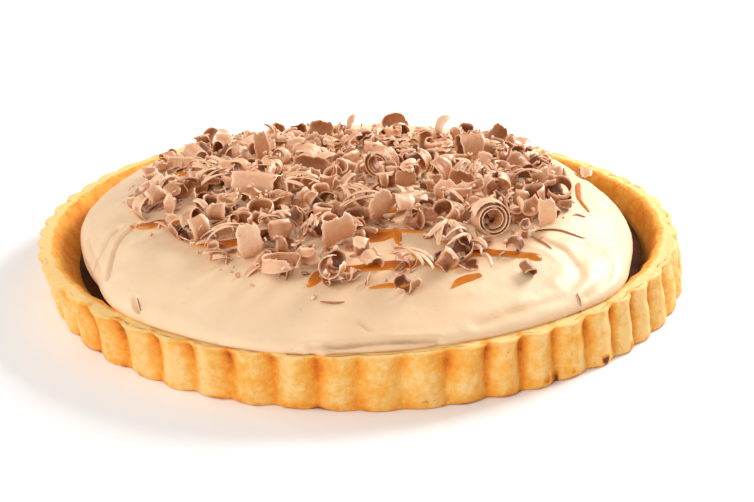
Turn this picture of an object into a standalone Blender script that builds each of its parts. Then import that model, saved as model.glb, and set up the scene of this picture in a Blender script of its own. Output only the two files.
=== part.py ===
"""A cream tart: fluted crust, dark filling, a dome of whipped cream, caramel drizzle and chocolate curls.

Lengths are metres and angles degrees. +Z is up, the front faces -Y, and the origin is the middle of
the flat underside.
"""
import math
import random

import bmesh
import bpy
from mathutils import Matrix, Vector

# Clearance between pieces that touch
GAP = 0.0003

# Crust: a baked shell with a fluted wall that flares at the left and stands upright at the right
RIM_RADIUS = 0.125
RIM_HEIGHT = 0.0207
RIM_LEAN = -0.0011
BASE_RADIUS = 0.1243
BASE_LEAN = 0.0029
FLOOR_TOP = 0.0045
FLOOR_RADIUS = 0.1075
WALL_TOP_RADIUS = 0.1172
WALL_TOP_DROP = 0.0006
LIP_DROP = 0.0012
LIP_WIDTH = 0.0011
EDGE_ROUND = 0.0011
FLARE_START = 0.009
FLARE_SHARE = 0.35
FLUTES = 53
FLUTE_DEPTH = 0.0033
FLUTE_SHARPNESS = 1.5
FLUTE_START = 3.04
# Each wave round the crust: size, number of waves, start
FLUTE_UNEVENNESS = [(0.18, 5, 0), (0.14, 11, 130)]
FLUTE_WANDER = [(2.03, 3, 12), (0.83, 5, -7), (0.26, 8, 36), (0.27, 13, -41)]
STEPS_PER_FLUTE = 5
# How much of the flutes' depth shows at the base, at the lip and on the inner wall
BASE_PRESS = 0.55
LIP_PRESS = 0.6
INNER_PRESS = 0.3
SLUMP_DEPTH = 0.0030
SLUMP_ANGLE = 38
SLUMP_WIDTH = 32

# Filling: one level disc inside the crust
FILLING_TOP = 0.0115
FILLING_RADIUS = 0.1106
FILLING_FOOT = 0.1070
FILLING_STEPS = 72

# Cream: a dome tucked inside the rim, spilling on to it at the front
CREAM_WIDTH = 0.1075
# Each bulge or hollow of an outline seen from above: size, angle, half width in degrees
CREAM_BULGES = [(0.0024, -26, 20), (0.0008, 175, 30), (-0.0065, 14, 23), (-0.0010, 60, 30),
                (0.0026, -105, 26)]
CREAM_STEPS = 72
CREAM_SHIFT = -0.0011
SPILL_ANGLE = -88
SPILL_HALF_WIDTH = 54.5
SPILL_EDGE = 4.5
SWIRL_HEIGHT = 0.0007
SWIRL_ARMS = 2
SWIRL_PITCH = 0.0085
SWIRL_FADE = 0.03
REAR_DROP = 0.21
REAR_ANGLE = 88
REAR_WIDTH = 60
REAR_FADE = 1.6
# Each row is a share of the width and a height, from the top of the dome down to its foot
DOME_TOP = [(0.0, 0.0420), (0.28, 0.0417), (0.48, 0.0408), (0.65, 0.0392), (0.78, 0.0368)]
DOME_SIDE = [(0.86, 0.0342), (0.915, 0.0312), (0.955, 0.0278), (0.985, 0.0243), (1.0, 0.0210),
             (1.0, 0.0180), (0.985, 0.0136), (0.93, 0.0118)]
DOME_SPILL = [(0.90, 0.0342), (0.99, 0.0308), (1.06, 0.0276), (1.105, 0.0243), (1.11, 0.0214),
              (1.045, 0.0205), (1.0, 0.0136), (0.93, 0.0118)]

# Caramel drizzle: low ridges on the cream, each a path of plan points
DRIZZLE_RADIUS = 0.0016
DRIZZLE_SPACING = 0.006
DRIZZLE_PATHS = [
    [(-0.079, -0.002), (-0.0735, 0.001), (-0.066, -0.001)],
    [(-0.084, -0.040), (-0.078, -0.042), (-0.070, -0.044), (-0.062, -0.047)],
    [(-0.059, -0.063), (-0.054, -0.065), (-0.047, -0.0665), (-0.041, -0.065)],
    [(-0.014, -0.0935), (-0.0105, -0.0907), (0.006, -0.088), (0.0138, -0.0872), (0.024, -0.085),
     (0.031, -0.0865)],
    [(0.0125, -0.0625), (0.0128, -0.070), (0.0135, -0.079), (0.0137, -0.0845)],
    [(0.034, -0.080), (0.040, -0.0775), (0.048, -0.077), (0.0615, -0.0765)],
    [(0.030, -0.0985), (0.034, -0.0955), (0.041, -0.089)],
    [(0.085, -0.006), (0.084, -0.020), (0.085, -0.033)],
]

# Shaved chocolate
SHAVING = 0.0009
CURL_TAPER = 0.35
HERO_CLEARANCE = 0.0006
CURL_SPACING = 0.0010
CURL_CROWDING = 0.62
CURL_SINK = 0.0009
CURL_PLACES = 205
CURL_FIELD = 0.094
CURL_FIELD_Y = -0.007
CURL_SEGMENTS = 4
CURL_SEED = 25
CURL_RADII = (0.0028, 0.0054)
CURL_WIDTHS = (0.0050, 0.0088)
CURL_TURNS = (100, 230)
CURL_TILTS = [0, 8, 20, 55]
GOLDEN_ANGLE = 137.508
HEAP_REACH = 0.084
HEAP_BULGES = [(0.010, -98, 30), (0.003, -170, 20), (-0.004, -138, 18), (-0.005, 0, 40), (-0.012, 90, 50)]

# Small curls with a place of their own: plan x and y, inner radius, width, angle turned, heading, tilt, roll
PLACED_CURLS = [
    (0.0035, -0.0890, 0.0030, 0.0060, 230, 30, 10, 60),
    (0.0150, -0.1000, 0.0034, 0.0065, 220, -40, 20, 200),
    (0.0290, -0.0885, 0.0034, 0.0065, 230, 60, 30, 120),
    (-0.0120, -0.0990, 0.0050, 0.0055, 90, 20, 60, 40),
    (0.0565, -0.0860, 0.0024, 0.0050, 230, 30, 30, 60),
    (0.0290, -0.0700, 0.0034, 0.0060, 200, 120, 20, 150),
    (-0.0170, -0.0630, 0.0040, 0.0070, 180, 70, 10, 170),
    (-0.0265, -0.0580, 0.0036, 0.0065, 200, 10, 55, 20),
    (-0.0640, -0.0560, 0.0040, 0.0070, 190, 40, 20, 190),
    (-0.0840, -0.0240, 0.0030, 0.0060, 200, 140, 10, 180),
    (0.0240, -0.0560, 0.0038, 0.0070, 180, 80, 8, 160),
    (-0.0120, -0.0460, 0.0034, 0.0070, 210, 150, 20, 90),
]

# Patches that the smaller curls leave bare: plan x, y and radius
BARE_PATCHES = [(0.0140, -0.0800, 0.0100), (0.0530, -0.0800, 0.0060), (0.0840, -0.0160, 0.0100),
                (-0.0730, -0.0030, 0.0050), (-0.0730, -0.0430, 0.0060), (0.0360, -0.0930, 0.0040),
                (0.0700, -0.0700, 0.0080)]

# Large curls: plan x and y, inner radius, width, angle turned, growth a turn, heading, tilt, roll
LARGE_CURLS = {
    "curl_spiral_front": (0.0453, -0.0680, 0.0028, 0.0085, 980, 0.0015, 14, -12, 100),
    "curl_ring_front": (-0.0270, -0.0925, 0.0060, 0.0050, 330, 0.0006, 12, 78, 290),
    "curl_spiral_middle": (0.0086, -0.0158, 0.0026, 0.0065, 800, 0.0018, -28, 8, 20),
    "curl_scoop_middle": (-0.0195, -0.0170, 0.0056, 0.0165, 205, 0.0008, 80, 4, 190),
    "curl_folded_right": (0.0345, -0.0396, 0.0054, 0.0120, 250, 0.0022, 62, 8, 214),
    "curl_loop_right": (0.0500, -0.0390, 0.0048, 0.0060, 330, 0.0006, 10, 10, 250),
    "curl_plate_left": (-0.0380, -0.0800, 0.0066, 0.0085, 118, 0.0010, -84, 8, 60),
    "curl_plate_front": (-0.0080, -0.0790, 0.0120, 0.0125, 74, 0.0010, -66, 16, 66),
    "curl_flake_right": (0.0661, -0.0585, 0.0100, 0.0065, 68, 0.0010, -78, 8, 44),
    "curl_scoop_left": (-0.0548, -0.0410, 0.0052, 0.0075, 215, 0.0014, 8, 12, 198),
    "curl_plate_side": (-0.0476, -0.0665, 0.0140, 0.0060, 76, 0.0010, 16, 60, 50),
    "curl_sliver_rear": (-0.0383, 0.0104, 0.0140, 0.0060, 52, 0.0010, -78, 8, 27),
    "curl_sliver_edge": (0.0910, 0.0150, 0.0120, 0.0050, 76, 0.0010, 82, 18, 322),
    "curl_roll_rear": (0.0440, 0.0100, 0.0046, 0.0100, 290, 0.0014, 100, 4, 90),
    "curl_scoop_rear": (-0.0160, 0.0360, 0.0056, 0.0120, 200, 0.0010, 84, 6, 180),
    "curl_roll_side": (-0.0650, 0.0150, 0.0028, 0.0090, 310, 0.0010, 36, 4, 80),
    "curl_ring_rear": (0.0150, 0.0520, 0.0046, 0.0060, 270, 0.0010, 150, 62, 120),
    "curl_plate_rear": (0.0570, 0.0320, 0.0062, 0.0070, 95, 0.0010, 60, 30, 60),
    "curl_roll_left": (-0.0385, -0.0330, 0.0042, 0.0180, 300, 0.0010, 78, 2, 100),
    "curl_plate_middle": (0.0070, -0.0590, 0.0095, 0.0105, 84, 0.0010, -60, 24, 70),
    "curl_plate_right": (0.0170, -0.0300, 0.0100, 0.0080, 56, 0.0010, -82, 10, 52),
}
LARGE_CURL_SEGMENT = 34


def clear_scene():
    """Removes every object of the open scene."""
    for item in list(bpy.data.objects):
        bpy.data.objects.remove(item, do_unlink=True)


def new_collection(name):
    """Makes a collection in the scene."""
    collection = bpy.data.collections.new(name)
    bpy.context.scene.collection.children.link(collection)
    return collection


def surface(name, colour, roughness):
    """A plain finish: colour and roughness of one food."""
    material = bpy.data.materials.new(name)
    material.use_nodes = True
    shader = material.node_tree.nodes["Principled BSDF"]
    shader.inputs["Base Color"].default_value = (*colour, 1.0)
    shader.inputs["Roughness"].default_value = roughness
    shader.inputs["Metallic"].default_value = 0.0
    return material


def hump(angle, centre, width):
    """One at the centre angle, falling smoothly to nothing on both sides."""
    away = (angle - centre + 180) % 360 - 180
    return math.exp(-(away / width) ** 2)


def bulges(angle, rows):
    """The sum of bulges and hollows at an angle."""
    return sum(size * hump(angle, centre, width) for size, centre, width in rows)


def waves(angle, rows):
    """The sum of waves at an angle."""
    return sum(size * math.sin(math.radians(count * angle + start)) for size, count, start in rows)


def evaluated_mesh(item):
    """The object's mesh with its modifiers applied."""
    depsgraph = bpy.context.evaluated_depsgraph_get()
    return bpy.data.meshes.new_from_object(item.evaluated_get(depsgraph))


def place(name, mesh, collection):
    """Puts a mesh in the scene as a named object."""
    item = bpy.data.objects.new(name, mesh)
    collection.objects.link(item)
    return item


def turned_body(name, profile, steps, shape, start, collection):
    """Turns a profile about Z, then moves each ring's points to shape(ring number, angle)."""
    outline = bpy.data.meshes.new(name + "_profile")
    points = [(radius, 0.0, height) for radius, height in profile]
    outline.from_pydata(points, [(k, k + 1) for k in range(len(points) - 1)], [])
    blank = place(name + "_blank", outline, collection)
    screw = blank.modifiers.new("Turn", "SCREW")
    screw.axis = "Z"
    screw.angle = math.tau
    screw.steps = steps
    screw.render_steps = steps
    screw.use_merge_vertices = True
    screw.merge_threshold = 0.00001
    bpy.context.view_layer.update()
    mesh = evaluated_mesh(blank)
    bpy.data.objects.remove(blank, do_unlink=True)
    for vertex in mesh.vertices:
        radius = math.hypot(vertex.co.x, vertex.co.y)
        ring = min(range(len(profile)), key=lambda k: math.dist(profile[k], (radius, vertex.co.z)))
        if profile[ring][0] > 0:
            angle = math.degrees(math.atan2(vertex.co.y, vertex.co.x)) + start
            vertex.co = shape(ring, angle)
    mesh.name = name
    return place(name, mesh, collection)


def polar(radius, angle, height, shift=0.0):
    """The point at a radius and angle about an axis set sideways by shift."""
    turn = math.radians(angle)
    return Vector((radius * math.cos(turn) + shift, radius * math.sin(turn), height))


def leaning(radius, angle, lean):
    """A radius that grows by lean at the right and shrinks by it at the left."""
    return radius + lean * math.cos(math.radians(angle))


# Crust

def flute_dip(angle):
    """How far the outer wall is pressed in: full depth in a valley, nothing on a rib."""
    phase = math.radians(FLUTES * (angle - FLUTE_START))
    unevenness = 1 + waves(angle, FLUTE_UNEVENNESS)
    return FLUTE_DEPTH * unevenness * ((1 + math.cos(phase)) / 2) ** FLUTE_SHARPNESS


def flute_wander(angle):
    """Sideways wander of the flutes, in degrees, so that no two are equally wide."""
    return waves(angle, FLUTE_WANDER)


def rim_height(angle):
    """The rim is level but for one slump at the rear right."""
    return RIM_HEIGHT - SLUMP_DEPTH * hump(angle, SLUMP_ANGLE, SLUMP_WIDTH)


def crust_shape(ring, angle):
    """Places the crust's rings: floor, inner wall, rim, lip, flared outer wall and base."""
    dip = flute_dip(angle)
    top = rim_height(angle)
    flare = BASE_RADIUS + (RIM_RADIUS - BASE_RADIUS) * FLARE_SHARE
    flare_lean = BASE_LEAN + (RIM_LEAN - BASE_LEAN) * FLARE_SHARE
    rings = [
        (0.0, FLOOR_TOP, 0.0),
        (FLOOR_RADIUS, FLOOR_TOP, 0.0),
        (WALL_TOP_RADIUS - INNER_PRESS * dip, top - WALL_TOP_DROP, RIM_LEAN),
        (RIM_RADIUS - LIP_WIDTH - LIP_PRESS * dip, top, RIM_LEAN),
        (RIM_RADIUS - LIP_PRESS * dip, top - LIP_DROP, RIM_LEAN),
        (flare - dip, FLARE_START, flare_lean),
        (BASE_RADIUS - BASE_PRESS * dip, EDGE_ROUND, BASE_LEAN),
        (BASE_RADIUS - EDGE_ROUND - BASE_PRESS * dip, 0.0, BASE_LEAN),
    ]
    radius, height, lean = rings[ring]
    return polar(leaning(radius, angle, lean), angle + flute_wander(angle), height)


def build_crust(collection):
    """The pastry shell with its fluted wall."""
    profile = [
        (0.0, FLOOR_TOP),
        (FLOOR_RADIUS, FLOOR_TOP),
        (WALL_TOP_RADIUS, RIM_HEIGHT - WALL_TOP_DROP),
        (RIM_RADIUS - LIP_WIDTH, RIM_HEIGHT),
        (RIM_RADIUS, RIM_HEIGHT - LIP_DROP),
        (RIM_RADIUS, FLARE_START),
        (BASE_RADIUS, EDGE_ROUND),
        (BASE_RADIUS - EDGE_ROUND, 0.0),
        (0.0, 0.0),
    ]
    crust = turned_body("crust", profile, FLUTES * STEPS_PER_FLUTE, crust_shape, FLUTE_START, collection)
    crust.data.materials.append(surface("baked_pastry", (0.78, 0.46, 0.17), 0.75))
    return crust


# Filling

def build_filling(collection):
    """The dark layer between the crust's floor and the cream."""
    foot = FLOOR_TOP + GAP
    profile = [
        (0.0, FILLING_TOP),
        (FILLING_RADIUS - LIP_WIDTH, FILLING_TOP),
        (FILLING_RADIUS, FILLING_TOP - GAP),
        (FILLING_FOOT, foot),
        (0.0, foot),
    ]

    def level_ring(ring, angle):
        """Keeps every ring of the filling round and level."""
        radius, height = profile[ring]
        return polar(radius, angle, height)

    filling = turned_body("filling", profile, FILLING_STEPS, level_ring, 0.0, collection)
    filling.data.materials.append(surface("dark_filling", (0.045, 0.018, 0.008), 0.25))
    return filling


# Cream

def cream_width(angle):
    """Half width of the dome: narrower at the right rear, fuller at the right front and the left."""
    return CREAM_WIDTH + bulges(angle, CREAM_BULGES)


def spill(angle):
    """One where the cream spills on to the rim, nothing elsewhere."""
    away = abs((angle - SPILL_ANGLE + 180) % 360 - 180)
    return 1 / (1 + math.exp((away - SPILL_HALF_WIDTH) / SPILL_EDGE))


def cream_point(ring, angle):
    """Radius and height of one ring of the dome at an angle, before its swirls."""
    side = (DOME_TOP + DOME_SIDE)[ring]
    front = (DOME_TOP + DOME_SPILL)[ring]
    share = spill(angle)
    radius = cream_width(angle) * (side[0] + share * (front[0] - side[0]))
    height = side[1] + share * (front[1] - side[1])
    rearward = hump(angle, REAR_ANGLE, REAR_WIDTH) * min(1.0, REAR_FADE * side[0])
    lowered = REAR_DROP * rearward * (height - FILLING_TOP)
    return radius, height - max(0.0, lowered)


def swirl(radius, angle):
    """Broad low ridges that wind out from the middle of the dome."""
    wave = math.sin(math.radians(SWIRL_ARMS * angle) + radius / SWIRL_PITCH)
    return SWIRL_HEIGHT * wave * min(1.0, radius / SWIRL_FADE)


def cream_surface(ring, angle):
    """Places the dome's rings, with swirls on all but the underside."""
    radius, height = cream_point(ring, angle)
    last_open_ring = len(DOME_TOP) + 3
    if ring <= last_open_ring:
        height += swirl(radius, angle)
    return polar(radius, angle, height, CREAM_SHIFT)


def cream_height(x, y):
    """Height of the dome's top above a plan point, or None outside it."""
    radius = math.hypot(x - CREAM_SHIFT, y)
    angle = math.degrees(math.atan2(y, x - CREAM_SHIFT))
    inner = cream_point(0, angle)
    for ring in range(1, len(DOME_TOP) + 5):
        outer = cream_point(ring, angle)
        if outer[0] >= radius:
            share = (radius - inner[0]) / (outer[0] - inner[0])
            inner_height = inner[1] + swirl(inner[0], angle)
            outer_height = outer[1] + swirl(outer[0], angle)
            return inner_height + share * (outer_height - inner_height)
        inner = outer
    return None


def build_cream(collection):
    """The bare dome."""
    rows = DOME_TOP + DOME_SIDE
    profile = [(CREAM_WIDTH * share, height) for share, height in rows] + [(0.0, rows[-1][1])]
    return turned_body("cream", profile, CREAM_STEPS, cream_surface, 0.0, collection)


# Chocolate

def curl_blank(name, inner, width, turned, growth, segments, collection):
    """A shaving rolled about Y: a grid bent round a spiral, thinner at its ends, made solid."""
    sheet = bmesh.new()
    bmesh.ops.create_grid(sheet, x_segments=segments, y_segments=1, size=0.5)
    for vertex in sheet.verts:
        share = vertex.co.x + 0.5
        turn = math.radians(turned * share)
        radius = inner + growth * turn / math.tau
        taper = 1 - CURL_TAPER * abs(2 * share - 1) ** 3
        vertex.co = (radius * math.cos(turn), vertex.co.y * width * taper, radius * math.sin(turn))
    mesh = bpy.data.meshes.new(name)
    sheet.to_mesh(mesh)
    sheet.free()
    blank = place(name + "_blank", mesh, collection)
    solid = blank.modifiers.new("Thickness", "SOLIDIFY")
    solid.thickness = SHAVING
    solid.offset = 0.0
    bpy.context.view_layer.update()
    finished = evaluated_mesh(blank)
    finished.name = name
    bpy.data.objects.remove(blank, do_unlink=True)
    return finished


def bed_down(mesh, x, y, heading, tilt, roll, clearance):
    """Turns a shaving, lays it over the dome at a plan point and lowers it to a clearance."""
    turn = (Matrix.Rotation(math.radians(heading), 4, "Z") @ Matrix.Rotation(math.radians(tilt), 4, "X")
            @ Matrix.Rotation(math.radians(roll), 4, "Y"))
    mesh.transform(turn)
    middle = sum((vertex.co for vertex in mesh.vertices), Vector()) / len(mesh.vertices)
    mesh.transform(Matrix.Translation((x - middle.x, y - middle.y, 0.0)))
    lift = max(cream_height(vertex.co.x, vertex.co.y) - vertex.co.z for vertex in mesh.vertices)
    mesh.transform(Matrix.Translation((0.0, 0.0, lift + clearance)))


def plan_reach(mesh, x, y):
    """How far a shaving reaches from its plan point."""
    return max(math.hypot(vertex.co.x - x, vertex.co.y - y) for vertex in mesh.vertices)


def build_large_curls(collection):
    """The shavings as large as berries. Returns the plan circles that they take up."""
    chocolate = surface("milk_chocolate", (0.40, 0.22, 0.13), 0.45)
    circles = []
    for name, (x, y, inner, width, turned, growth, heading, tilt, roll) in LARGE_CURLS.items():
        segments = max(4, round(turned / LARGE_CURL_SEGMENT))
        mesh = curl_blank(name, inner, width, turned, growth, segments, collection)
        bed_down(mesh, x, y, heading, tilt, roll, HERO_CLEARANCE)
        mesh.materials.append(chocolate)
        place(name, mesh, collection)
        circles.append((x, y, plan_reach(mesh, x, y)))
    return circles


def is_clear(x, y, reach, circles):
    """Whether a plan circle stays off all the others."""
    return all(math.hypot(x - cx, y - cy) > reach + radius + CURL_SPACING for cx, cy, radius in circles)


def small_curl(name, x, y, inner, width, turned, heading, tilt, roll, scraps):
    """One shaving bedded in the cream, not yet placed, and its reach in plan."""
    mesh = curl_blank(name, inner, width, turned, 0.0, CURL_SEGMENTS, scraps)
    bed_down(mesh, x, y, heading, tilt, roll, -CURL_SINK)
    return mesh, plan_reach(mesh, x, y)


def build_small_curls(circles, scraps):
    """Shavings to be fused with the cream, clear of the large ones: placed ones, then a golden spiral."""
    taken = []
    for number, row in enumerate(PLACED_CURLS):
        mesh, reach = small_curl("placed_curl_%02d" % number, *row, scraps)
        if is_clear(row[0], row[1], reach, circles):
            place(mesh.name, mesh, scraps)
            taken.append((row[0], row[1], CURL_CROWDING * reach))
    draw = random.Random(CURL_SEED)
    for number in range(CURL_PLACES):
        distance = CURL_FIELD * math.sqrt((number + 0.5) / CURL_PLACES)
        angle = number * GOLDEN_ANGLE
        if distance > HEAP_REACH + bulges(angle, HEAP_BULGES):
            continue
        x = distance * math.cos(math.radians(angle))
        y = distance * math.sin(math.radians(angle)) + CURL_FIELD_Y
        inner = draw.uniform(*CURL_RADII)
        width = draw.uniform(*CURL_WIDTHS)
        turned = draw.uniform(*CURL_TURNS)
        heading = draw.uniform(0, 360)
        tilt = draw.choice(CURL_TILTS)
        roll = draw.uniform(0, 360)
        name = "small_curl_%03d" % number
        mesh, reach = small_curl(name, x, y, inner, width, turned, heading, tilt, roll, scraps)
        core = CURL_CROWDING * reach
        if is_clear(x, y, reach, circles) and is_clear(x, y, core, taken + BARE_PATCHES):
            place(name, mesh, scraps)
            taken.append((x, y, core))


# Drizzle

def drizzle_points(path):
    """Points on the dome along a path, about one a spacing."""
    points = []
    for start, end in zip(path, path[1:]):
        count = max(1, round(math.dist(start, end) / DRIZZLE_SPACING))
        for step in range(count):
            share = step / count
            points.append((start[0] + share * (end[0] - start[0]), start[1] + share * (end[1] - start[1])))
    points.append(path[-1])
    return points


def build_drizzle(circles, scraps):
    """Ridges of caramel to be fused with the cream, left out under the large curls."""
    for number, path in enumerate(DRIZZLE_PATHS):
        kept = [(x, y) for x, y in drizzle_points(path) if is_clear(x, y, DRIZZLE_RADIUS, circles)]
        if len(kept) < 3:
            continue
        curve = bpy.data.curves.new("drizzle_path_%d" % number, "CURVE")
        curve.dimensions = "3D"
        curve.bevel_depth = DRIZZLE_RADIUS
        curve.bevel_resolution = 1
        curve.use_fill_caps = True
        spline = curve.splines.new("POLY")
        spline.points.add(len(kept) - 1)
        for point, (x, y) in zip(spline.points, kept):
            point.co = (x, y, cream_height(x, y), 1.0)
        tube = place("drizzle_tube_%d" % number, curve, scraps)
        bpy.context.view_layer.update()
        mesh = evaluated_mesh(tube)
        bpy.data.objects.remove(tube, do_unlink=True)
        ridge = bmesh.new()
        ridge.from_mesh(mesh)
        bmesh.ops.remove_doubles(ridge, verts=ridge.verts, dist=0.00001)
        bmesh.ops.recalc_face_normals(ridge, faces=ridge.faces)
        ridge.to_mesh(mesh)
        ridge.free()
        place("drizzle_%d" % number, mesh, scraps)


# Fusing

def loose_shells(body):
    """The faces of a mesh, one list for each connected shell."""
    left = set(body.faces)
    shells = []
    while left:
        shell = []
        waiting = [left.pop()]
        while waiting:
            face = waiting.pop()
            shell.append(face)
            for edge in face.edges:
                for other in edge.link_faces:
                    if other in left:
                        left.discard(other)
                        waiting.append(other)
        shells.append(shell)
    return shells


def fuse(base, scraps):
    """Joins everything in a collection to the base as one closed body, without scraps or sealed hollows."""
    union = base.modifiers.new("Fuse", "BOOLEAN")
    union.operation = "UNION"
    union.operand_type = "COLLECTION"
    union.collection = scraps
    union.solver = "EXACT"
    bpy.context.view_layer.update()
    mesh = evaluated_mesh(base)
    base.modifiers.clear()
    base.data = mesh
    for item in list(scraps.objects):
        bpy.data.objects.remove(item, do_unlink=True)
    bpy.data.collections.remove(scraps)
    body = bmesh.new()
    body.from_mesh(mesh)
    bmesh.ops.triangulate(body, faces=body.faces)
    bmesh.ops.dissolve_degenerate(body, edges=body.edges, dist=0.000005)
    shells = sorted(loose_shells(body), key=len)
    for shell in shells[:-1]:
        bmesh.ops.delete(body, geom=shell, context="FACES")
    bmesh.ops.delete(body, geom=[v for v in body.verts if not v.link_faces], context="VERTS")
    body.to_mesh(mesh)
    body.free()
    mesh.name = base.name


def main():
    """Builds the tart."""
    clear_scene()
    parts = new_collection("cream_tart")
    scraps = new_collection("fused_toppings")
    build_crust(parts)
    build_filling(parts)
    cream = build_cream(parts)
    circles = build_large_curls(parts)
    build_small_curls(circles, scraps)
    build_drizzle(circles, scraps)
    fuse(cream, scraps)
    cream.data.materials.clear()
    cream.data.materials.append(surface("whipped_cream", (0.85, 0.66, 0.46), 0.5))
    for item in parts.objects:
        item.data.shade_smooth()
        item.data.set_sharp_from_angle(angle=math.radians(35))


main()
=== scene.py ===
import itertools
import math
import random

import bpy
import numpy as np
from mathutils import Matrix, Vector
from mathutils.bvhtree import BVHTree


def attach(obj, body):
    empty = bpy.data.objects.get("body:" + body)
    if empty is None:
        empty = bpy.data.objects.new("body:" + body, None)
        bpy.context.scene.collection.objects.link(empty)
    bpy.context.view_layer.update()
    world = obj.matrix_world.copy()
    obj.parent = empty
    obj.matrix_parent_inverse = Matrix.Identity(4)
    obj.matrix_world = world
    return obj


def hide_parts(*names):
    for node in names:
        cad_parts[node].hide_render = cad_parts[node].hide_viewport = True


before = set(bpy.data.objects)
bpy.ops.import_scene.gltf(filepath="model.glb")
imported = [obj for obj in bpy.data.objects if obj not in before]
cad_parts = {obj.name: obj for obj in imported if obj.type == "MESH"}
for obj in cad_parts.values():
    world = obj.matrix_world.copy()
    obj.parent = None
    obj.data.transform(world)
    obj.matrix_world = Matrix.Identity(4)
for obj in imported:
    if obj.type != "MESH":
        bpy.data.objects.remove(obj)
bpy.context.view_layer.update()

# The same sizes as the solids, in metres and degrees
RIM_HEIGHT = 0.0207
RIM_LEAN = -0.0011
BASE_LEAN = 0.0029
FLOOR_TOP = 0.0045
FLOOR_RADIUS = 0.1075
FLARE_SHARE = 0.35
FLUTES = 53
FLUTE_DEPTH = 0.0033
FLUTE_START = 3.04
# Each wave round the crust: size, number of waves, start
FLUTE_UNEVENNESS = [(0.18, 5, 0), (0.14, 11, 130)]
FLUTE_WANDER = [(2.03, 3, 12), (0.83, 5, -7), (0.26, 8, 36), (0.27, 13, -41)]
# How far the flutes press in at the base, under the rim's lip and inside, as shares of their depth
BASE_PRESS = 0.55
LIP_PRESS = 0.6
INNER_PRESS = 0.3
SLUMP_DEPTH = 0.003
SLUMP_ANGLE = 38
SLUMP_WIDTH = 32

FILLING_TOP = 0.0115

CREAM_WIDTH = 0.1075
# Each bulge or hollow of an outline seen from above: size, angle, half width in degrees
CREAM_BULGES = [(0.0024, -26, 20), (0.0008, 175, 30), (-0.0065, 14, 23), (-0.0010, 60, 30),
                (0.0026, -105, 26)]
CREAM_SHIFT = -0.0011
SPILL_ANGLE = -88
SPILL_HALF_WIDTH = 54.5
SPILL_EDGE = 4.5
SWIRL_HEIGHT = 0.0007
SWIRL_ARMS = 2
SWIRL_PITCH = 0.0085
SWIRL_FADE = 0.03
REAR_DROP = 0.21
REAR_ANGLE = 88
REAR_WIDTH = 60
REAR_FADE = 1.6
# The dome's rings as share of its half width and height: its top, then its side and its side where it spills
DOME_TOP = [(0.0, 0.0420), (0.28, 0.0417), (0.48, 0.0408), (0.65, 0.0392), (0.78, 0.0368)]
DOME_SIDE = [(0.86, 0.0342), (0.915, 0.0312), (0.955, 0.0278), (0.985, 0.0243), (1.0, 0.0210),
             (1.0, 0.0180), (0.985, 0.0136), (0.93, 0.0118)]
DOME_SPILL = [(0.90, 0.0342), (0.99, 0.0308), (1.06, 0.0276), (1.105, 0.0243), (1.11, 0.0214),
              (1.045, 0.0205), (1.0, 0.0136), (0.93, 0.0118)]

SHAVING = 0.0009
CURL_TAPER = 0.35
HERO_CLEARANCE = 0.0006
CURL_SPACING = 0.0010
CURL_CROWDING = 0.62
CURL_SINK = 0.0009
CURL_PLACES = 205
CURL_FIELD = 0.094
CURL_FIELD_Y = -0.007
CURL_SEGMENTS = 4
CURL_SEED = 25
CURL_RADII = (0.0028, 0.0054)
CURL_WIDTHS = (0.0050, 0.0088)
CURL_TURNS = (100, 230)
CURL_TILTS = [0, 8, 20, 55]
GOLDEN_ANGLE = 137.508
HEAP_REACH = 0.084
HEAP_BULGES = [(0.010, -98, 30), (0.003, -170, 20), (-0.004, -138, 18), (-0.005, 0, 40),
               (-0.012, 90, 50)]

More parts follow.
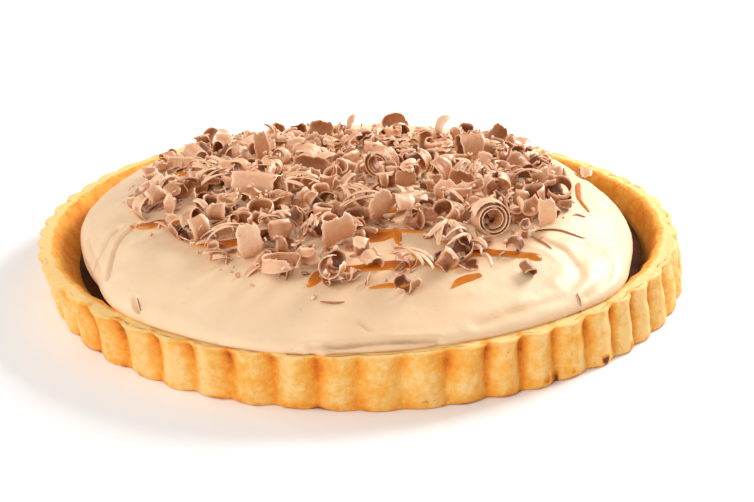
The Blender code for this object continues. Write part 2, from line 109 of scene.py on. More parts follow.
# Large curls: plan x and y, inner radius, width, angle turned, growth a turn, heading, tilt, roll
LARGE_CURLS = {
    "curl_spiral_front": (0.0453, -0.0680, 0.0028, 0.0085, 980, 0.0015, 14, -12, 100),
    "curl_ring_front": (-0.0270, -0.0925, 0.0060, 0.0050, 330, 0.0006, 12, 78, 290),
    "curl_spiral_middle": (0.0086, -0.0158, 0.0026, 0.0065, 800, 0.0018, -28, 8, 20),
    "curl_scoop_middle": (-0.0195, -0.0170, 0.0056, 0.0165, 205, 0.0008, 80, 4, 190),
    "curl_folded_right": (0.0345, -0.0396, 0.0054, 0.0120, 250, 0.0022, 62, 8, 214),
    "curl_loop_right": (0.0500, -0.0390, 0.0048, 0.0060, 330, 0.0006, 10, 10, 250),
    "curl_plate_left": (-0.0380, -0.0800, 0.0066, 0.0085, 118, 0.0010, -84, 8, 60),
    "curl_plate_front": (-0.0080, -0.0790, 0.0120, 0.0125, 74, 0.0010, -66, 16, 66),
    "curl_flake_right": (0.0661, -0.0585, 0.0100, 0.0065, 68, 0.0010, -78, 8, 44),
    "curl_scoop_left": (-0.0548, -0.0410, 0.0052, 0.0075, 215, 0.0014, 8, 12, 198),
    "curl_plate_side": (-0.0476, -0.0665, 0.0140, 0.0060, 76, 0.0010, 16, 60, 50),
    "curl_sliver_rear": (-0.0383, 0.0104, 0.0140, 0.0060, 52, 0.0010, -78, 8, 27),
    "curl_sliver_edge": (0.0910, 0.0150, 0.0120, 0.0050, 76, 0.0010, 82, 18, 322),
    "curl_roll_rear": (0.0440, 0.0100, 0.0046, 0.0100, 290, 0.0014, 100, 4, 90),
    "curl_scoop_rear": (-0.0160, 0.0360, 0.0056, 0.0120, 200, 0.0010, 84, 6, 180),
    "curl_roll_side": (-0.0650, 0.0150, 0.0028, 0.0090, 310, 0.0010, 36, 4, 80),
    "curl_ring_rear": (0.0150, 0.0520, 0.0046, 0.0060, 270, 0.0010, 150, 62, 120),
    "curl_plate_rear": (0.0570, 0.0320, 0.0062, 0.0070, 95, 0.0010, 60, 30, 60),
    "curl_roll_left": (-0.0385, -0.0330, 0.0042, 0.0180, 300, 0.0010, 78, 2, 100),
    "curl_plate_middle": (0.0070, -0.0590, 0.0095, 0.0105, 84, 0.0010, -60, 24, 70),
    "curl_plate_right": (0.0170, -0.0300, 0.0100, 0.0080, 56, 0.0010, -82, 10, 52),
}

LARGE_CURL_SEGMENT = 34

# Small curls with a place of their own: plan x and y, inner radius, width, angle turned, heading, tilt, roll
PLACED_CURLS = [
    (0.0035, -0.0890, 0.0030, 0.0060, 230, 30, 10, 60),
    (0.0150, -0.1000, 0.0034, 0.0065, 220, -40, 20, 200),
    (0.0290, -0.0885, 0.0034, 0.0065, 230, 60, 30, 120),
    (-0.0120, -0.0990, 0.0050, 0.0055, 90, 20, 60, 40),
    (0.0565, -0.0860, 0.0024, 0.0050, 230, 30, 30, 60),
    (0.0290, -0.0700, 0.0034, 0.0060, 200, 120, 20, 150),
    (-0.0170, -0.0630, 0.0040, 0.0070, 180, 70, 10, 170),
    (-0.0265, -0.0580, 0.0036, 0.0065, 200, 10, 55, 20),
    (-0.0640, -0.0560, 0.0040, 0.0070, 190, 40, 20, 190),
    (-0.0840, -0.0240, 0.0030, 0.0060, 200, 140, 10, 180),
    (0.0240, -0.0560, 0.0038, 0.0070, 180, 80, 8, 160),
    (-0.0120, -0.0460, 0.0034, 0.0070, 210, 150, 20, 90),
]

# Patches that the smaller curls leave bare, where the sauce shows: plan x, y and radius
BARE_PATCHES = [(0.0140, -0.0800, 0.0100), (0.0530, -0.0800, 0.0060), (0.0840, -0.0160, 0.0100),
                (-0.0730, -0.0030, 0.0050), (-0.0730, -0.0430, 0.0060), (0.0360, -0.0930, 0.0040),
                (0.0700, -0.0700, 0.0080)]

# Camera: where it stands, what it looks at, and its lens for a 36 mm wide picture
CAMERA_PLACE = (-0.0011, -0.5552, 0.2335)
CAMERA_TARGET = (0.0064, 0.0, 0.0062)
CAMERA_ROLL = -1.0
CAMERA_LENS = 71.6


# Helpers

def band(value, centre, width):
    """One where a value is at the centre, falling smoothly to nothing on both sides."""
    return np.exp(-((value - centre) / width) ** 2)


def hump(angle, centre, width):
    """A band of angles round the tart."""
    return band((angle - centre + 180) % 360 - 180, 0, width)


def bulges(angle, rows):
    """The sum of bulges and hollows at an angle."""
    return sum(size * hump(angle, centre, width) for size, centre, width in rows)


def waves(angle, rows):
    """The sum of waves at an angle."""
    return sum(size * np.sin(np.radians(count * angle + start)) for size, count, start in rows)


# Large odd numbers that scramble a cell's place and the seed into a random-looking number
HASH_FACTORS = (73856093, 19349663, 83492791)
HASH_SEED_FACTOR = 2654435
HASH_STIRS = [(13, 1274126177), (16, 668265263)]
HASH_MASK = 0xFFFFFFFF


def smooth_noise(points, size, seed):
    """A smooth random field from -1 to 1 with features of a given size, at many points at once."""
    scaled = points / size
    cell = np.floor(scaled).astype(np.int64)
    part = scaled - cell
    part = part * part * (3 - 2 * part)
    total = np.zeros(len(points))
    for corner in itertools.product((0, 1), repeat=3):
        key = (cell + np.array(corner)) * HASH_FACTORS
        code = key[:, 0] ^ key[:, 1] ^ key[:, 2] ^ (seed * HASH_SEED_FACTOR)
        for stir, factor in HASH_STIRS:
            code = ((code ^ (code >> stir)) * factor) & HASH_MASK
        value = ((code >> 8) & 0xFFFF) / 32767.5 - 1
        weight = np.prod(np.where(np.array(corner), part, 1 - part), axis=1)
        total += weight * value
    return total


def relief(points, layers):
    """Sum of smooth noises, each given by height, feature size, seed and how much wider than high it is."""
    return sum(height * smooth_noise(points * (1.0, 1.0, wide), size, seed)
               for height, size, seed, wide in layers)


def mesh_from(name, points, faces, smooth=True):
    """A mesh from an array of points and rows of the corners of its faces."""
    mesh = bpy.data.meshes.new(name)
    mesh.from_pydata(points.tolist(), [], [list(face) for face in faces])
    mesh.validate()
    if smooth:
        mesh.shade_smooth()
    return mesh


def add_values(mesh, name, values):
    """Keeps one number for each point with the mesh, for its material."""
    layer = mesh.attributes.new(name, "FLOAT", "POINT")
    layer.data.foreach_set("value", np.asarray(values, dtype=np.float32))


def add_piece(name, mesh, material, slot_name, *nodes):
    """Puts a mesh in the scene as a piece that rides on the tart and stands for CAD nodes."""
    piece = bpy.data.objects.new(name, mesh)
    bpy.context.scene.collection.objects.link(piece)
    mesh.materials.append(material)
    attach(piece, "root")
    if nodes:
        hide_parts(*nodes)
    return piece


def ring_faces(rings, columns):
    """Quads between closed rings of points that are numbered ring by ring."""
    ring, column = np.meshgrid(np.arange(rings - 1), np.arange(columns), indexing="ij")
    after = (column + 1) % columns
    here = ring * columns
    there = here + columns
    quads = np.stack([here + column, there + column, there + after, here + after], axis=-1)
    return quads.reshape(-1, 4)


def cap_faces(first, columns, middle, upwards):
    """Triangles from a ring's points to one middle point."""
    column = np.arange(columns)
    after = (column + 1) % columns
    spare = np.full(columns, middle)
    order = (first + column, first + after, spare)
    if not upwards:
        order = (first + after, first + column, spare)
    return np.stack(order, axis=-1)


def closed_faces(rings, columns):
    """Faces of a skin of rings, closed to the two points that come after them, one above and one below."""
    above = rings * columns
    return [*ring_faces(rings, columns), *cap_faces(0, columns, above, True),
            *cap_faces(above - columns, columns, above + 1, False)]


def through_points(keys, steps):
    """A smooth curve through rows of points: Catmull-Rom along the first axis."""
    padded = np.concatenate([keys[:1], keys, keys[-1:]])
    rows = []
    for k in range(len(keys) - 1):
        a, b, c, d = padded[k:k + 4]
        for t in np.arange(steps) / steps:
            rows.append(0.5 * (2 * b + (c - a) * t + (2 * a - 5 * b + 4 * c - d) * t ** 2
                               + (3 * b - a - 3 * c + d) * t ** 3))
    rows.append(keys[-1])
    return np.array(rows)


# Materials

class Finish:
    """A node material with a Principled shader and short ways to add what it needs."""

    def __init__(self, name, roughness):
        self.material = bpy.data.materials.new(name)
        self.material.use_nodes = True
        self.tree = self.material.node_tree
        self.shader = self.tree.nodes["Principled BSDF"]
        self.shader.inputs["Roughness"].default_value = roughness
        self.place = self.tree.nodes.new("ShaderNodeTexCoord").outputs["Object"]

    def link(self, output, socket):
        """Joins an output to a socket."""
        self.tree.links.new(output, socket)

    def set(self, **values):
        """Sets the shader's own sockets, named with underscores for spaces."""
        for name, value in values.items():
            self.shader.inputs[name.replace("_", " ")].default_value = value

    def attribute(self, name):
        """A number kept with the mesh."""
        node = self.tree.nodes.new("ShaderNodeAttribute")
        node.attribute_name = name
        return node.outputs["Fac"]

    def noise(self, size, detail=3.0, rough=0.55, stretch=(1, 1, 1)):
        """Noise with features of a given size in metres."""
        mapping = self.tree.nodes.new("ShaderNodeMapping")
        mapping.inputs["Scale"].default_value = tuple(s / size for s in stretch)
        node = self.tree.nodes.new("ShaderNodeTexNoise")
        node.inputs["Scale"].default_value = 1.0
        node.inputs["Detail"].default_value = detail
        node.inputs["Roughness"].default_value = rough
        self.link(self.place, mapping.inputs["Vector"])
        self.link(mapping.outputs["Vector"], node.inputs["Vector"])
        return node.outputs["Fac"]

    def ramp(self, value, stops):
        """Turns a number into a colour by stops of place and colour."""
        node = self.tree.nodes.new("ShaderNodeValToRGB")
        band = node.color_ramp
        while len(band.elements) < len(stops):
            band.elements.new(0.5)
        for element, (place, colour) in zip(band.elements, stops):
            element.position = place
            element.color = (*colour, 1.0) if len(colour) == 3 else (colour[0],) * 3 + (1.0,)
        self.link(value, node.inputs["Fac"])
        return node.outputs["Color"]

    def sum(self, *terms):
        """Adds up pairs of an output and its weight."""
        total = None
        for term in terms:
            node = self.tree.nodes.new("ShaderNodeMath")
            node.operation = "MULTIPLY_ADD"
            output, weight = term
            self.link(output, node.inputs[0])
            node.inputs[1].default_value = weight
            if total is None:
                node.inputs[2].default_value = 0.0
            else:
                self.link(total, node.inputs[2])
            total = node.outputs[0]
        return total

    def shift(self, value, amount):
        """Adds a number to a value."""
        node = self.tree.nodes.new("ShaderNodeMath")
        node.operation = "ADD"
        self.link(value, node.inputs[0])
        node.inputs[1].default_value = amount
        return node.outputs[0]

    def mix(self, factor, first, second):
        """Mixes two colours, each an output or plain values, by a factor."""
        node = self.tree.nodes.new("ShaderNodeMix")
        node.data_type = "RGBA"
        self.link(factor, node.inputs["Factor"])
        for value, socket in ((first, node.inputs[6]), (second, node.inputs[7])):
            if isinstance(value, tuple):
                socket.default_value = (*value, 1.0)
            else:
                self.link(value, socket)
        return node.outputs[2]

    def colour(self, output):
        """Feeds the base colour."""
        self.link(output, self.shader.inputs["Base Color"])

    def bump(self, height, depth):
        """Feeds the normal from a height, with the depth in metres."""
        node = self.tree.nodes.new("ShaderNodeBump")
        node.inputs["Distance"].default_value = depth
        node.inputs["Strength"].default_value = 1.0
        self.link(height, node.inputs["Height"])
        self.link(node.outputs["Normal"], self.shader.inputs["Normal"])


# Colours by tone, from pale to dark: place on the ramp and colour
PASTRY_TONES = [(0.0, (0.97, 0.63, 0.24)), (0.20, (0.95, 0.475, 0.086)), (0.45, (0.90, 0.325, 0.030)),
                (0.70, (0.74, 0.200, 0.013)), (0.88, (0.44, 0.105, 0.009)), (1.0, (0.13, 0.045, 0.010))]
PASTRY_SPECK = (0.38, 0.13, 0.02)
CREAM_TONES = [(0.2, (0.86, 0.635, 0.41)), (0.55, (0.81, 0.55, 0.325)), (1.0, (0.52, 0.32, 0.19))]
FILLING_TONES = [(0.3, (0.040, 0.012, 0.004)), (0.8, (0.100, 0.032, 0.011))]
CARAMEL_TONES = [(0.1, (0.84, 0.36, 0.035)), (0.5, (0.66, 0.19, 0.010)), (1.0, (0.36, 0.075, 0.004))]
CHOCOLATE_TONES = [(0.0, (0.94, 0.62, 0.40)), (0.34, (0.73, 0.39, 0.215)), (0.68, (0.44, 0.17, 0.062)),
                   (1.0, (0.165, 0.045, 0.011))]


def pastry_finish():
    """Sandy shortcrust: pale gold on ribs and rim, orange with painted shade in the creases and under the
    lip, dark baked specks and edges.
    """
    finish = Finish("pastry", 0.62)
    # The browning and shade values hold baked colour and painted shade together
    browning_and_shade = finish.sum((finish.attribute("browning_and_shade"), 1.0), (finish.noise(0.010, 3), 0.60),
                          (finish.noise(0.0026, 4, 0.65), 0.75))
    toasted_and_shaded = finish.ramp(finish.shift(browning_and_shade, -0.62), PASTRY_TONES)
    specks = finish.ramp(finish.noise(0.0019, 1, 0.4), [(0.74, (0.0,)), (0.80, (0.45,))])
    finish.colour(finish.mix(specks, toasted_and_shaded, PASTRY_SPECK))
    finish.bump(finish.sum((finish.noise(0.0010, 4, 0.75), 1.0), (finish.noise(0.0030, 3), 1.0)), 0.00055)
    finish.set(Subsurface_Weight=0.06, Subsurface_Radius=(0.003, 0.0012, 0.0004),
               Specular_IOR_Level=0.25)
    return finish.material


def cream_finish():
    """Whipped cream, coffee coloured: smooth, matt, with a soft glow and tiny air holes."""
    finish = Finish("whipped_cream", 0.45)
    # The hollow values paint shade into the spatula's creases
    tone = finish.sum((finish.noise(0.035, 2), 0.45), (finish.noise(0.007, 3), 0.30),
                      (finish.attribute("hollow"), 0.42))
    finish.colour(finish.ramp(tone, CREAM_TONES))
    holes = finish.ramp(finish.noise(0.0016, 1, 0.3), [(0.75, (1.0,)), (0.80, (0.0,))])
    finish.bump(finish.sum((finish.noise(0.0009, 3), 0.25), (finish.noise(0.005, 3), 0.6), (holes, 0.5)),
                0.00022)
    finish.set(Subsurface_Weight=0.18, Subsurface_Radius=(0.005, 0.0026, 0.0014),
               Specular_IOR_Level=0.3)
    return finish.material


def filling_finish():
    """Dark matt filling with faint ripples."""
    finish = Finish("dark_filling", 0.5)
    finish.colour(finish.ramp(finish.noise(0.008, 3), FILLING_TONES))
    finish.bump(finish.noise(0.003, 2), 0.0004)
    finish.set(Specular_IOR_Level=0.04)
    return finish.material


def caramel_finish():
    """Glossy amber sauce, deeper where it is thick."""
    finish = Finish("caramel", 0.18)
    tone = finish.sum((finish.attribute("depth"), 0.7), (finish.noise(0.004, 2), 0.5))
    finish.colour(finish.ramp(tone, CARAMEL_TONES))
    finish.bump(finish.noise(0.0025, 2), 0.0001)
    finish.set(Subsurface_Weight=0.15, Subsurface_Radius=(0.002, 0.0008, 0.0002),
               Specular_IOR_Level=0.4)
    return finish.material


def chocolate_finish():
    """Shaved milk chocolate: matt with scraping lines, each piece its own tone, paler on thin edges as a
    painted highlight and darker on inner faces, partly as painted shade.
    """
    finish = Finish("milk_chocolate", 0.42)
    # The inside value darkens the curls' inner faces: painted shade, and partly their duller rougher side.
    # The edge highlight value lightens thin edges: a painted highlight. The tone also carries painted shade
    # deep in the heap.
    tone = finish.sum((finish.attribute("tone"), 0.55), (finish.noise(0.0016, 3), 0.25),
                      (finish.attribute("inside"), 0.36), (finish.attribute("edge"), -0.55))
    finish.colour(finish.ramp(tone, CHOCOLATE_TONES))
    finish.bump(finish.sum((finish.noise(0.0007, 3), 0.5), (finish.attribute("scrape"), 0.8)), 0.00024)
    finish.set(Subsurface_Weight=0.06, Subsurface_Radius=(0.002, 0.001, 0.0006),
               Specular_IOR_Level=0.4)
    return finish.material


# Crust

# How rounded the bottom of a crease is, as a share of the flutes' depth
CREASE_ROUNDING = 0.09


def flute_dip(angle):
    """How far the outer wall is pressed in: full depth in a crease, nothing on a rib's crest."""
    swell = np.hypot(np.sin(np.radians(FLUTES * (angle - FLUTE_START)) / 2), CREASE_ROUNDING)
    unevenness = 1 + waves(angle, FLUTE_UNEVENNESS)
    return FLUTE_DEPTH * unevenness * (math.hypot(1, CREASE_ROUNDING) - swell)


def flute_wander(angle):
    """Sideways wander of the flutes, in degrees, so that no two are equally wide."""
    return waves(angle, FLUTE_WANDER)


def rim_height(angle):
    """The rim is level but for one slump at the rear right."""
    return RIM_HEIGHT - SLUMP_DEPTH * hump(angle, SLUMP_ANGLE, SLUMP_WIDTH)


# The wall's outline as radius, share of the rim's height, lean share (0 base, 1 rim) and flute share
WALL = [
    (FLOOR_RADIUS - 0.012, None, 0.0, 0.0),
    (FLOOR_RADIUS - 0.001, None, 0.0, 0.0),
    (0.1102, 0.40, 0.2, 0.05),
    (0.1137, 0.68, 0.6, 0.2),
    (0.1164, 0.92, 1.0, INNER_PRESS),
    (0.1178, 0.985, 1.0, INNER_PRESS),
    (0.1198, 0.998, 1.0, 0.38),
    (0.1226, 0.998, 1.0, 0.48),
    (0.1242, 0.985, 1.0, 0.52),
    (0.1249, 0.955, 1.0, LIP_PRESS),
    (0.1248, 0.915, 0.95, 0.80),
    (0.1246, 0.85, 0.85, 1.05),
    (0.1245, 0.72, 0.7, 1.12),
    (0.1244, 0.50, FLARE_SHARE, 1.05),
    (0.1243, 0.26, 0.2, 0.92),
    (0.1242, 0.10, 0.05, BASE_PRESS + 0.12),
    (0.1238, 0.025, 0.0, BASE_PRESS),
    (0.1230, 0.0, 0.0, BASE_PRESS),
]
CRUST_COLUMNS_PER_FLUTE = 24
CRUST_ROWS_PER_KEY = 4


def crust_rings():
    """The wall's points, ring by ring, how far the flutes press in there, and how deep in a crease each
    lies, which sets the painted shade in the creases.
    """
    columns = FLUTES * CRUST_COLUMNS_PER_FLUTE
    angle = np.arange(columns) * 360 / columns
    dip = flute_dip(angle)
    top = rim_height(angle)
    keys = []
    for radius, share, lean_share, press in WALL:
        lean = BASE_LEAN + (RIM_LEAN - BASE_LEAN) * lean_share
        height = np.full(columns, FLOOR_TOP) if share is None else top * share
        keys.append(np.stack([radius - press * dip + lean * np.cos(np.radians(angle)), height,
                              np.full(columns, press), dip / FLUTE_DEPTH], axis=-1))
    rows = through_points(np.array(keys), CRUST_ROWS_PER_KEY)
    turn = np.radians(angle + flute_wander(angle))
    points = np.stack([rows[..., 0] * np.cos(turn), rows[..., 0] * np.sin(turn),
                       np.maximum(rows[..., 1], 0.0)], axis=-1)
    return points, rows[..., 2], rows[..., 3]


# Unevenness in layers, as for relief, and how far each is sunk to stay inside the solid
CRUST_GRAIN = [(0.00040, 0.013, 3, 1.0), (0.00022, 0.0045, 5, 1.0), (0.00013, 0.0019, 7, 1.0)]
CRUST_GRAIN_SINK = 0.00030
RIM_LUMPS = [(0.00045, 0.009, 11, 1.0), (0.00018, 0.003, 13, 1.0)]
RIM_LUMPS_SINK = 0.00045
FOOT_LUMPS = [(0.0007, 0.006, 17, 1.0)]
# Places in the wall's outline: shares of its rows, and the rows that the foot's lumps take up
INNER_WALL_END = 0.34
CROWN = (0.40, 0.07)
OUTER_WALL_START = 0.42
FLOOR_FADE_ROWS = 8.0
FOOT_ROWS = 5.0
# How much darker than the rest each place is: the creases, the band under the lip, the inner wall and the
# front take painted shade; the burnt foot and burnt front foot are baked colour; the foot and the notch are
# darker and the crown paler
BAKE_AND_SHADE = {"crease": 0.12, "deep crease": 0.32, "crease under lip": 0.22, "foot": 0.12, "inner": 0.36,
        "crown": -0.34, "front": 0.07, "burnt front foot": 1.1, "burnt foot": 0.5, "dark notch": 0.8}
BAKE_PATCHES = [(0.13, 0.03, 19, 1.0), (0.10, 0.008, 23, 1.0)]
TONE_RANGE = (-0.3, 1.2)
# Bands of the wall, as shares of the rim's height, and of angles round the tart: centre, half width
LIP_SHADOW = (0.78, 0.16)
FOOT = (0, 0.14)
BURNT_FRONT_FOOT = (0.12, 0.08)
BURNT_FRONT = (-50, 12)
BURNT_FOOT = (0, 0.08)
SHADED_FRONT = (-95, 40)
NOTCH_HEIGHT = (0.62, 0.09)
NOTCH_ANGLE = (-16, 1.1)


def baked_and_shaded_tone(points, inner, crown, press, valley):
    """How much darker the crust is at each of its points: baked colour, with painted shade in the creases,
    under the lip, on the inner wall and on the front.
    """
    height = points[:, 2] / RIM_HEIGHT
    angle = np.degrees(np.arctan2(points[:, 1], points[:, 0]))
    lip_shadow = band(height, *LIP_SHADOW) * (1 - inner)
    foot = band(height, *FOOT) * (1 - inner)
    burnt = np.clip(3 * smooth_noise(points, 0.0032, 31) - 0.6, 0, 1)
    # Painted shade in the creases, deepest just under the overhanging lip
    crease = np.clip(valley, 0, 1)
    tone = (BAKE_AND_SHADE["crease"] * crease + BAKE_AND_SHADE["deep crease"] * crease ** 3
            + BAKE_AND_SHADE["crease under lip"] * crease ** 2 * lip_shadow) * press
    # Painted shade on the inner wall; the foot darker and the crown paler
    tone += BAKE_AND_SHADE["foot"] * foot + BAKE_AND_SHADE["inner"] * inner + BAKE_AND_SHADE["crown"] * crown * (1 - valley * 0.4)
    tone += relief(points, BAKE_PATCHES)
    # Painted shade on the front, away from the window light
    tone += BAKE_AND_SHADE["front"] * hump(angle, *SHADED_FRONT) * (1 - inner)
    tone += BAKE_AND_SHADE["burnt front foot"] * burnt * band(height, *BURNT_FRONT_FOOT) * hump(angle, *BURNT_FRONT)
    tone += BAKE_AND_SHADE["burnt foot"] * burnt * band(height, *BURNT_FOOT)
    tone += BAKE_AND_SHADE["dark notch"] * hump(angle, *NOTCH_ANGLE) * band(height, *NOTCH_HEIGHT)
    return np.clip(tone, *TONE_RANGE)


def build_crust(material):
    """The pastry shell: fluted wall, sandy relief, flat underside."""
    points, press, valley = crust_rings()
    rings, columns = points.shape[:2]
    flat = points.reshape(-1, 3)
    outward = flat[:, :2] / np.linalg.norm(flat[:, :2], axis=1)[:, None]
    row = np.repeat(np.arange(rings), columns)
    grain = relief(flat, CRUST_GRAIN) - CRUST_GRAIN_SINK
    outer = row > (rings - 1) * OUTER_WALL_START
    side = np.where(outer, 1.0, -0.6) * np.minimum(1.0, row / FLOOR_FADE_ROWS)
    flat[:, :2] += outward * (grain * side)[:, None]
    crown = band(row / (rings - 1), *CROWN)
    flat[:, 2] += crown * (relief(flat, RIM_LUMPS) - RIM_LUMPS_SINK)
    foot = band(rings - 1 - row, 0, FOOT_ROWS) * (row < rings - 1)
    flat[:, 2] += foot * np.maximum(0, relief(flat, FOOT_LUMPS))
    flat[:, 2] = np.maximum(flat[:, 2], 0.0)
    inner = (row < rings * INNER_WALL_END) * 1.0
    tone = baked_and_shaded_tone(flat, inner, crown, press.reshape(-1), valley.reshape(-1))
    flat = np.concatenate([flat, [[0, 0, FLOOR_TOP], [0, 0, 0]]])
    mesh = mesh_from("crust", flat, closed_faces(rings, columns))
    add_values(mesh, "browning_and_shade", np.concatenate([tone, [0.2, 0.2]]))
    return add_piece("pastry_crust", mesh, material, "crust", "crust")


# Filling

FILLING_COLUMNS = 360
FILLING_FLOOR = FLOOR_TOP + 0.0004
# The disc's outline as radius and height; its ripples end where the outline turns down
FILLING_OUTLINE = [(0.090, FILLING_TOP), (0.100, FILLING_TOP), (0.1065, FILLING_TOP),
                   (0.1092, FILLING_TOP - 0.0001), (0.1104, FILLING_TOP - 0.0003), (0.1096, 0.0085),
                   (0.1070, FILLING_FLOOR)]
FILLING_RIPPLED_RINGS = 5
FILLING_RIPPLES = [(0.00045, 0.012, 29, 1.0)]
FILLING_SINK = 0.0003


def build_filling(material):
    """The dark layer: level, with faint ripples."""
    turn = np.radians(np.arange(FILLING_COLUMNS) * 360 / FILLING_COLUMNS)
    keys = []
    for radius, height in FILLING_OUTLINE:
        level = np.full(FILLING_COLUMNS, height)
        ring = np.stack([radius * np.cos(turn), radius * np.sin(turn), level], axis=-1)
        if len(keys) < FILLING_RIPPLED_RINGS:
            ring[:, 2] += relief(ring, FILLING_RIPPLES) - FILLING_SINK
        keys.append(ring)
    rings = through_points(np.array(keys), 3)
    middles = [[0, 0, FILLING_TOP - FILLING_SINK], [0, 0, FILLING_FLOOR]]
    flat = np.concatenate([rings.reshape(-1, 3), middles])
    mesh = mesh_from("filling_layer", flat, closed_faces(len(rings), FILLING_COLUMNS))
    return add_piece("filling_layer", mesh, material, "filling", "filling")


# Cream

def cream_width(angle):
    """Half width of the dome: narrower at the right rear, fuller at the right front and the left."""
    return CREAM_WIDTH + bulges(angle, CREAM_BULGES)


def spill(angle):
    """One where the cream spills on to the rim, nothing elsewhere."""
    away = np.abs((angle - SPILL_ANGLE + 180) % 360 - 180)
    return 1 / (1 + np.exp((away - SPILL_HALF_WIDTH) / SPILL_EDGE))


def cream_keys(angle):
    """Radius and height of every ring of the dome at many angles, before its swirls."""
    side = np.array(DOME_TOP + DOME_SIDE)[:, None, :]
    front = np.array(DOME_TOP + DOME_SPILL)[:, None, :]
    share = spill(angle)[None, :]
    radius = cream_width(angle)[None, :] * (side[..., 0] + share * (front[..., 0] - side[..., 0]))
    height = side[..., 1] + share * (front[..., 1] - side[..., 1])
    rearward = hump(angle, REAR_ANGLE, REAR_WIDTH)[None, :] * np.minimum(1.0, REAR_FADE * side[..., 0])
    lowered = REAR_DROP * rearward * (height - FILLING_TOP)
    return radius, height - np.maximum(0.0, lowered)


def swirl(radius, angle):
    """Broad low ridges that wind out from the middle of the dome."""
    wave = np.sin(np.radians(SWIRL_ARMS * angle) + radius / SWIRL_PITCH)
    return SWIRL_HEIGHT * wave * np.minimum(1.0, radius / SWIRL_FADE)


# The rings that can be seen from straight above, and the height given where there is no dome
RINGS_FROM_ABOVE = len(DOME_TOP) + 4
OFF_CREAM_HEIGHT = 0.021


def cream_height(x, y):
    """Height of the dome's top over plan points."""
    x = np.atleast_1d(np.asarray(x, dtype=float))
    y = np.atleast_1d(np.asarray(y, dtype=float))
    radius = np.hypot(x - CREAM_SHIFT, y)
    angle = np.degrees(np.arctan2(y, x - CREAM_SHIFT))
    radii, heights = cream_keys(angle)
    radii = radii[:RINGS_FROM_ABOVE + 1]
    heights = heights[:RINGS_FROM_ABOVE + 1] + swirl(radii, angle[None, :])
    found = np.full(len(x), OFF_CREAM_HEIGHT)
    for ring in range(RINGS_FROM_ABOVE, 0, -1):
        inner, outer = radii[ring - 1], radii[ring]
        here = (radius <= outer) & (radius >= inner)
        share = (radius - inner) / np.maximum(outer - inner, 1e-9)
        found = np.where(here, heights[ring - 1] + share * (heights[ring] - heights[ring - 1]), found)
    return found


# Marks of the spatula: the angle and height of points along each, then its depth and half width
CREASES = [
    ([(-155.5, 0.0350), (-153.8, 0.0343), (-152.2, 0.0322), (-149.5, 0.0300), (-146.1, 0.0283),
      (-143.0, 0.0269), (-141.4, 0.0259)], -0.0020, 0.0009),
    ([(-158.0, 0.0325), (-156.5, 0.0302), (-155.0, 0.0285), (-153.9, 0.0265), (-153.1, 0.0243),
      (-153.0, 0.0222)], -0.0009, 0.0017),
    ([(-131.4, 0.0264), (-130.2, 0.0252), (-129.0, 0.0243)], -0.0011, 0.0008),
    ([(-97.5, 0.0224), (-93.5, 0.0229), (-90.5, 0.0236), (-86.5, 0.0240), (-82.0, 0.0234), (-78.0, 0.0222)],
     -0.0011, 0.0010),
    ([(-90.2, 0.0284), (-88.5, 0.0268)], -0.0005, 0.0009),
    ([(-45.2, 0.0362), (-44.0, 0.0346), (-43.4, 0.0330), (-44.6, 0.0309)], -0.0008, 0.0012),
    ([(-44.9, 0.0300), (-47.3, 0.0284), (-52.2, 0.0270), (-57.3, 0.0266), (-62.5, 0.0264), (-71.0, 0.0254)],
     -0.0006, 0.0020),
    ([(-36.0, 0.0330), (-35.5, 0.0300), (-38.0, 0.0276), (-43.0, 0.0256), (-49.0, 0.0245)], -0.0005, 0.0018),
    ([(-165.5, 0.0251), (-160.1, 0.0241), (-153.6, 0.0240), (-148.0, 0.0238)], -0.0006, 0.0014),
    ([(-12.5, 0.0325), (-11.0, 0.0300), (-8.0, 0.0270)], -0.0006, 0.0014),
]
RIDGES = [
    ([(-49.0, 0.0352), (-47.4, 0.0330), (-48.6, 0.0308), (-53.0, 0.0292)], 0.0006, 0.0024),
    ([(-150.0, 0.0336), (-146.5, 0.0318), (-143.0, 0.0300), (-140.0, 0.0284)], 0.0004, 0.0028),
    ([(-40.8, 0.0338), (-40.6, 0.0312), (-44.0, 0.0288), (-51.0, 0.0270), (-62.0, 0.0272)], 0.0005, 0.0026),
    ([(-95.6, 0.0222), (-94.8, 0.0208)], 0.0012, 0.0017),
    ([(-75.0, 0.0312), (-66.0, 0.0316), (-58.0, 0.0320)], 0.0004, 0.0030),
]
CREAM_COLUMNS = 720
CREAM_ROWS_PER_KEY = 10
# The edge that lies on the rim hangs lower than the solid's: where, as a share of the rows, and by how much
SKIRT = (0.76, 0.06)
SKIRT_DROP = 0.0014
# Below this share of the rows the dome keeps the solid's form, so that it stays clear of crust and filling
FREE_ROWS = 0.86
FREE_FADE = 0.06
CREAM_LUMPS = [(0.00085, 0.034, 41, 1.0), (0.00040, 0.016, 43, 3.5), (0.00014, 0.0065, 47, 3.5),
               (0.00005, 0.0024, 53, 1.0)]
# A mark's depth varies along it by this much, and the cream beside a crease is pushed up by this share
MARK_WOBBLE = [(0.35, 0.004, 59, 1.0)]
CREASE_BANK = 0.20
FULL_SHADE_DEPTH = 0.001


def near_line(points, line):
    """Distance of each point to the nearest of the short stretches between a line's points."""
    nearest = np.full(len(points), 1.0)
    for start, end in zip(line, line[1:]):
        along = end - start
        share = np.clip(((points - start) @ along) / (along @ along), 0, 1)
        nearest = np.minimum(nearest, np.linalg.norm(points - start - share[:, None] * along, axis=1))
    return nearest


def cream_side_point(angle, height):
    """The point on the dome's side at an angle and height."""
    radii, heights = cream_keys(np.array([float(angle)]))
    radii, heights = radii[:, 0], heights[:, 0]
    radius = np.interp(-height, -heights, radii)
    turn = math.radians(angle)
    return np.array([radius * math.cos(turn) + CREAM_SHIFT, radius * math.sin(turn), height])


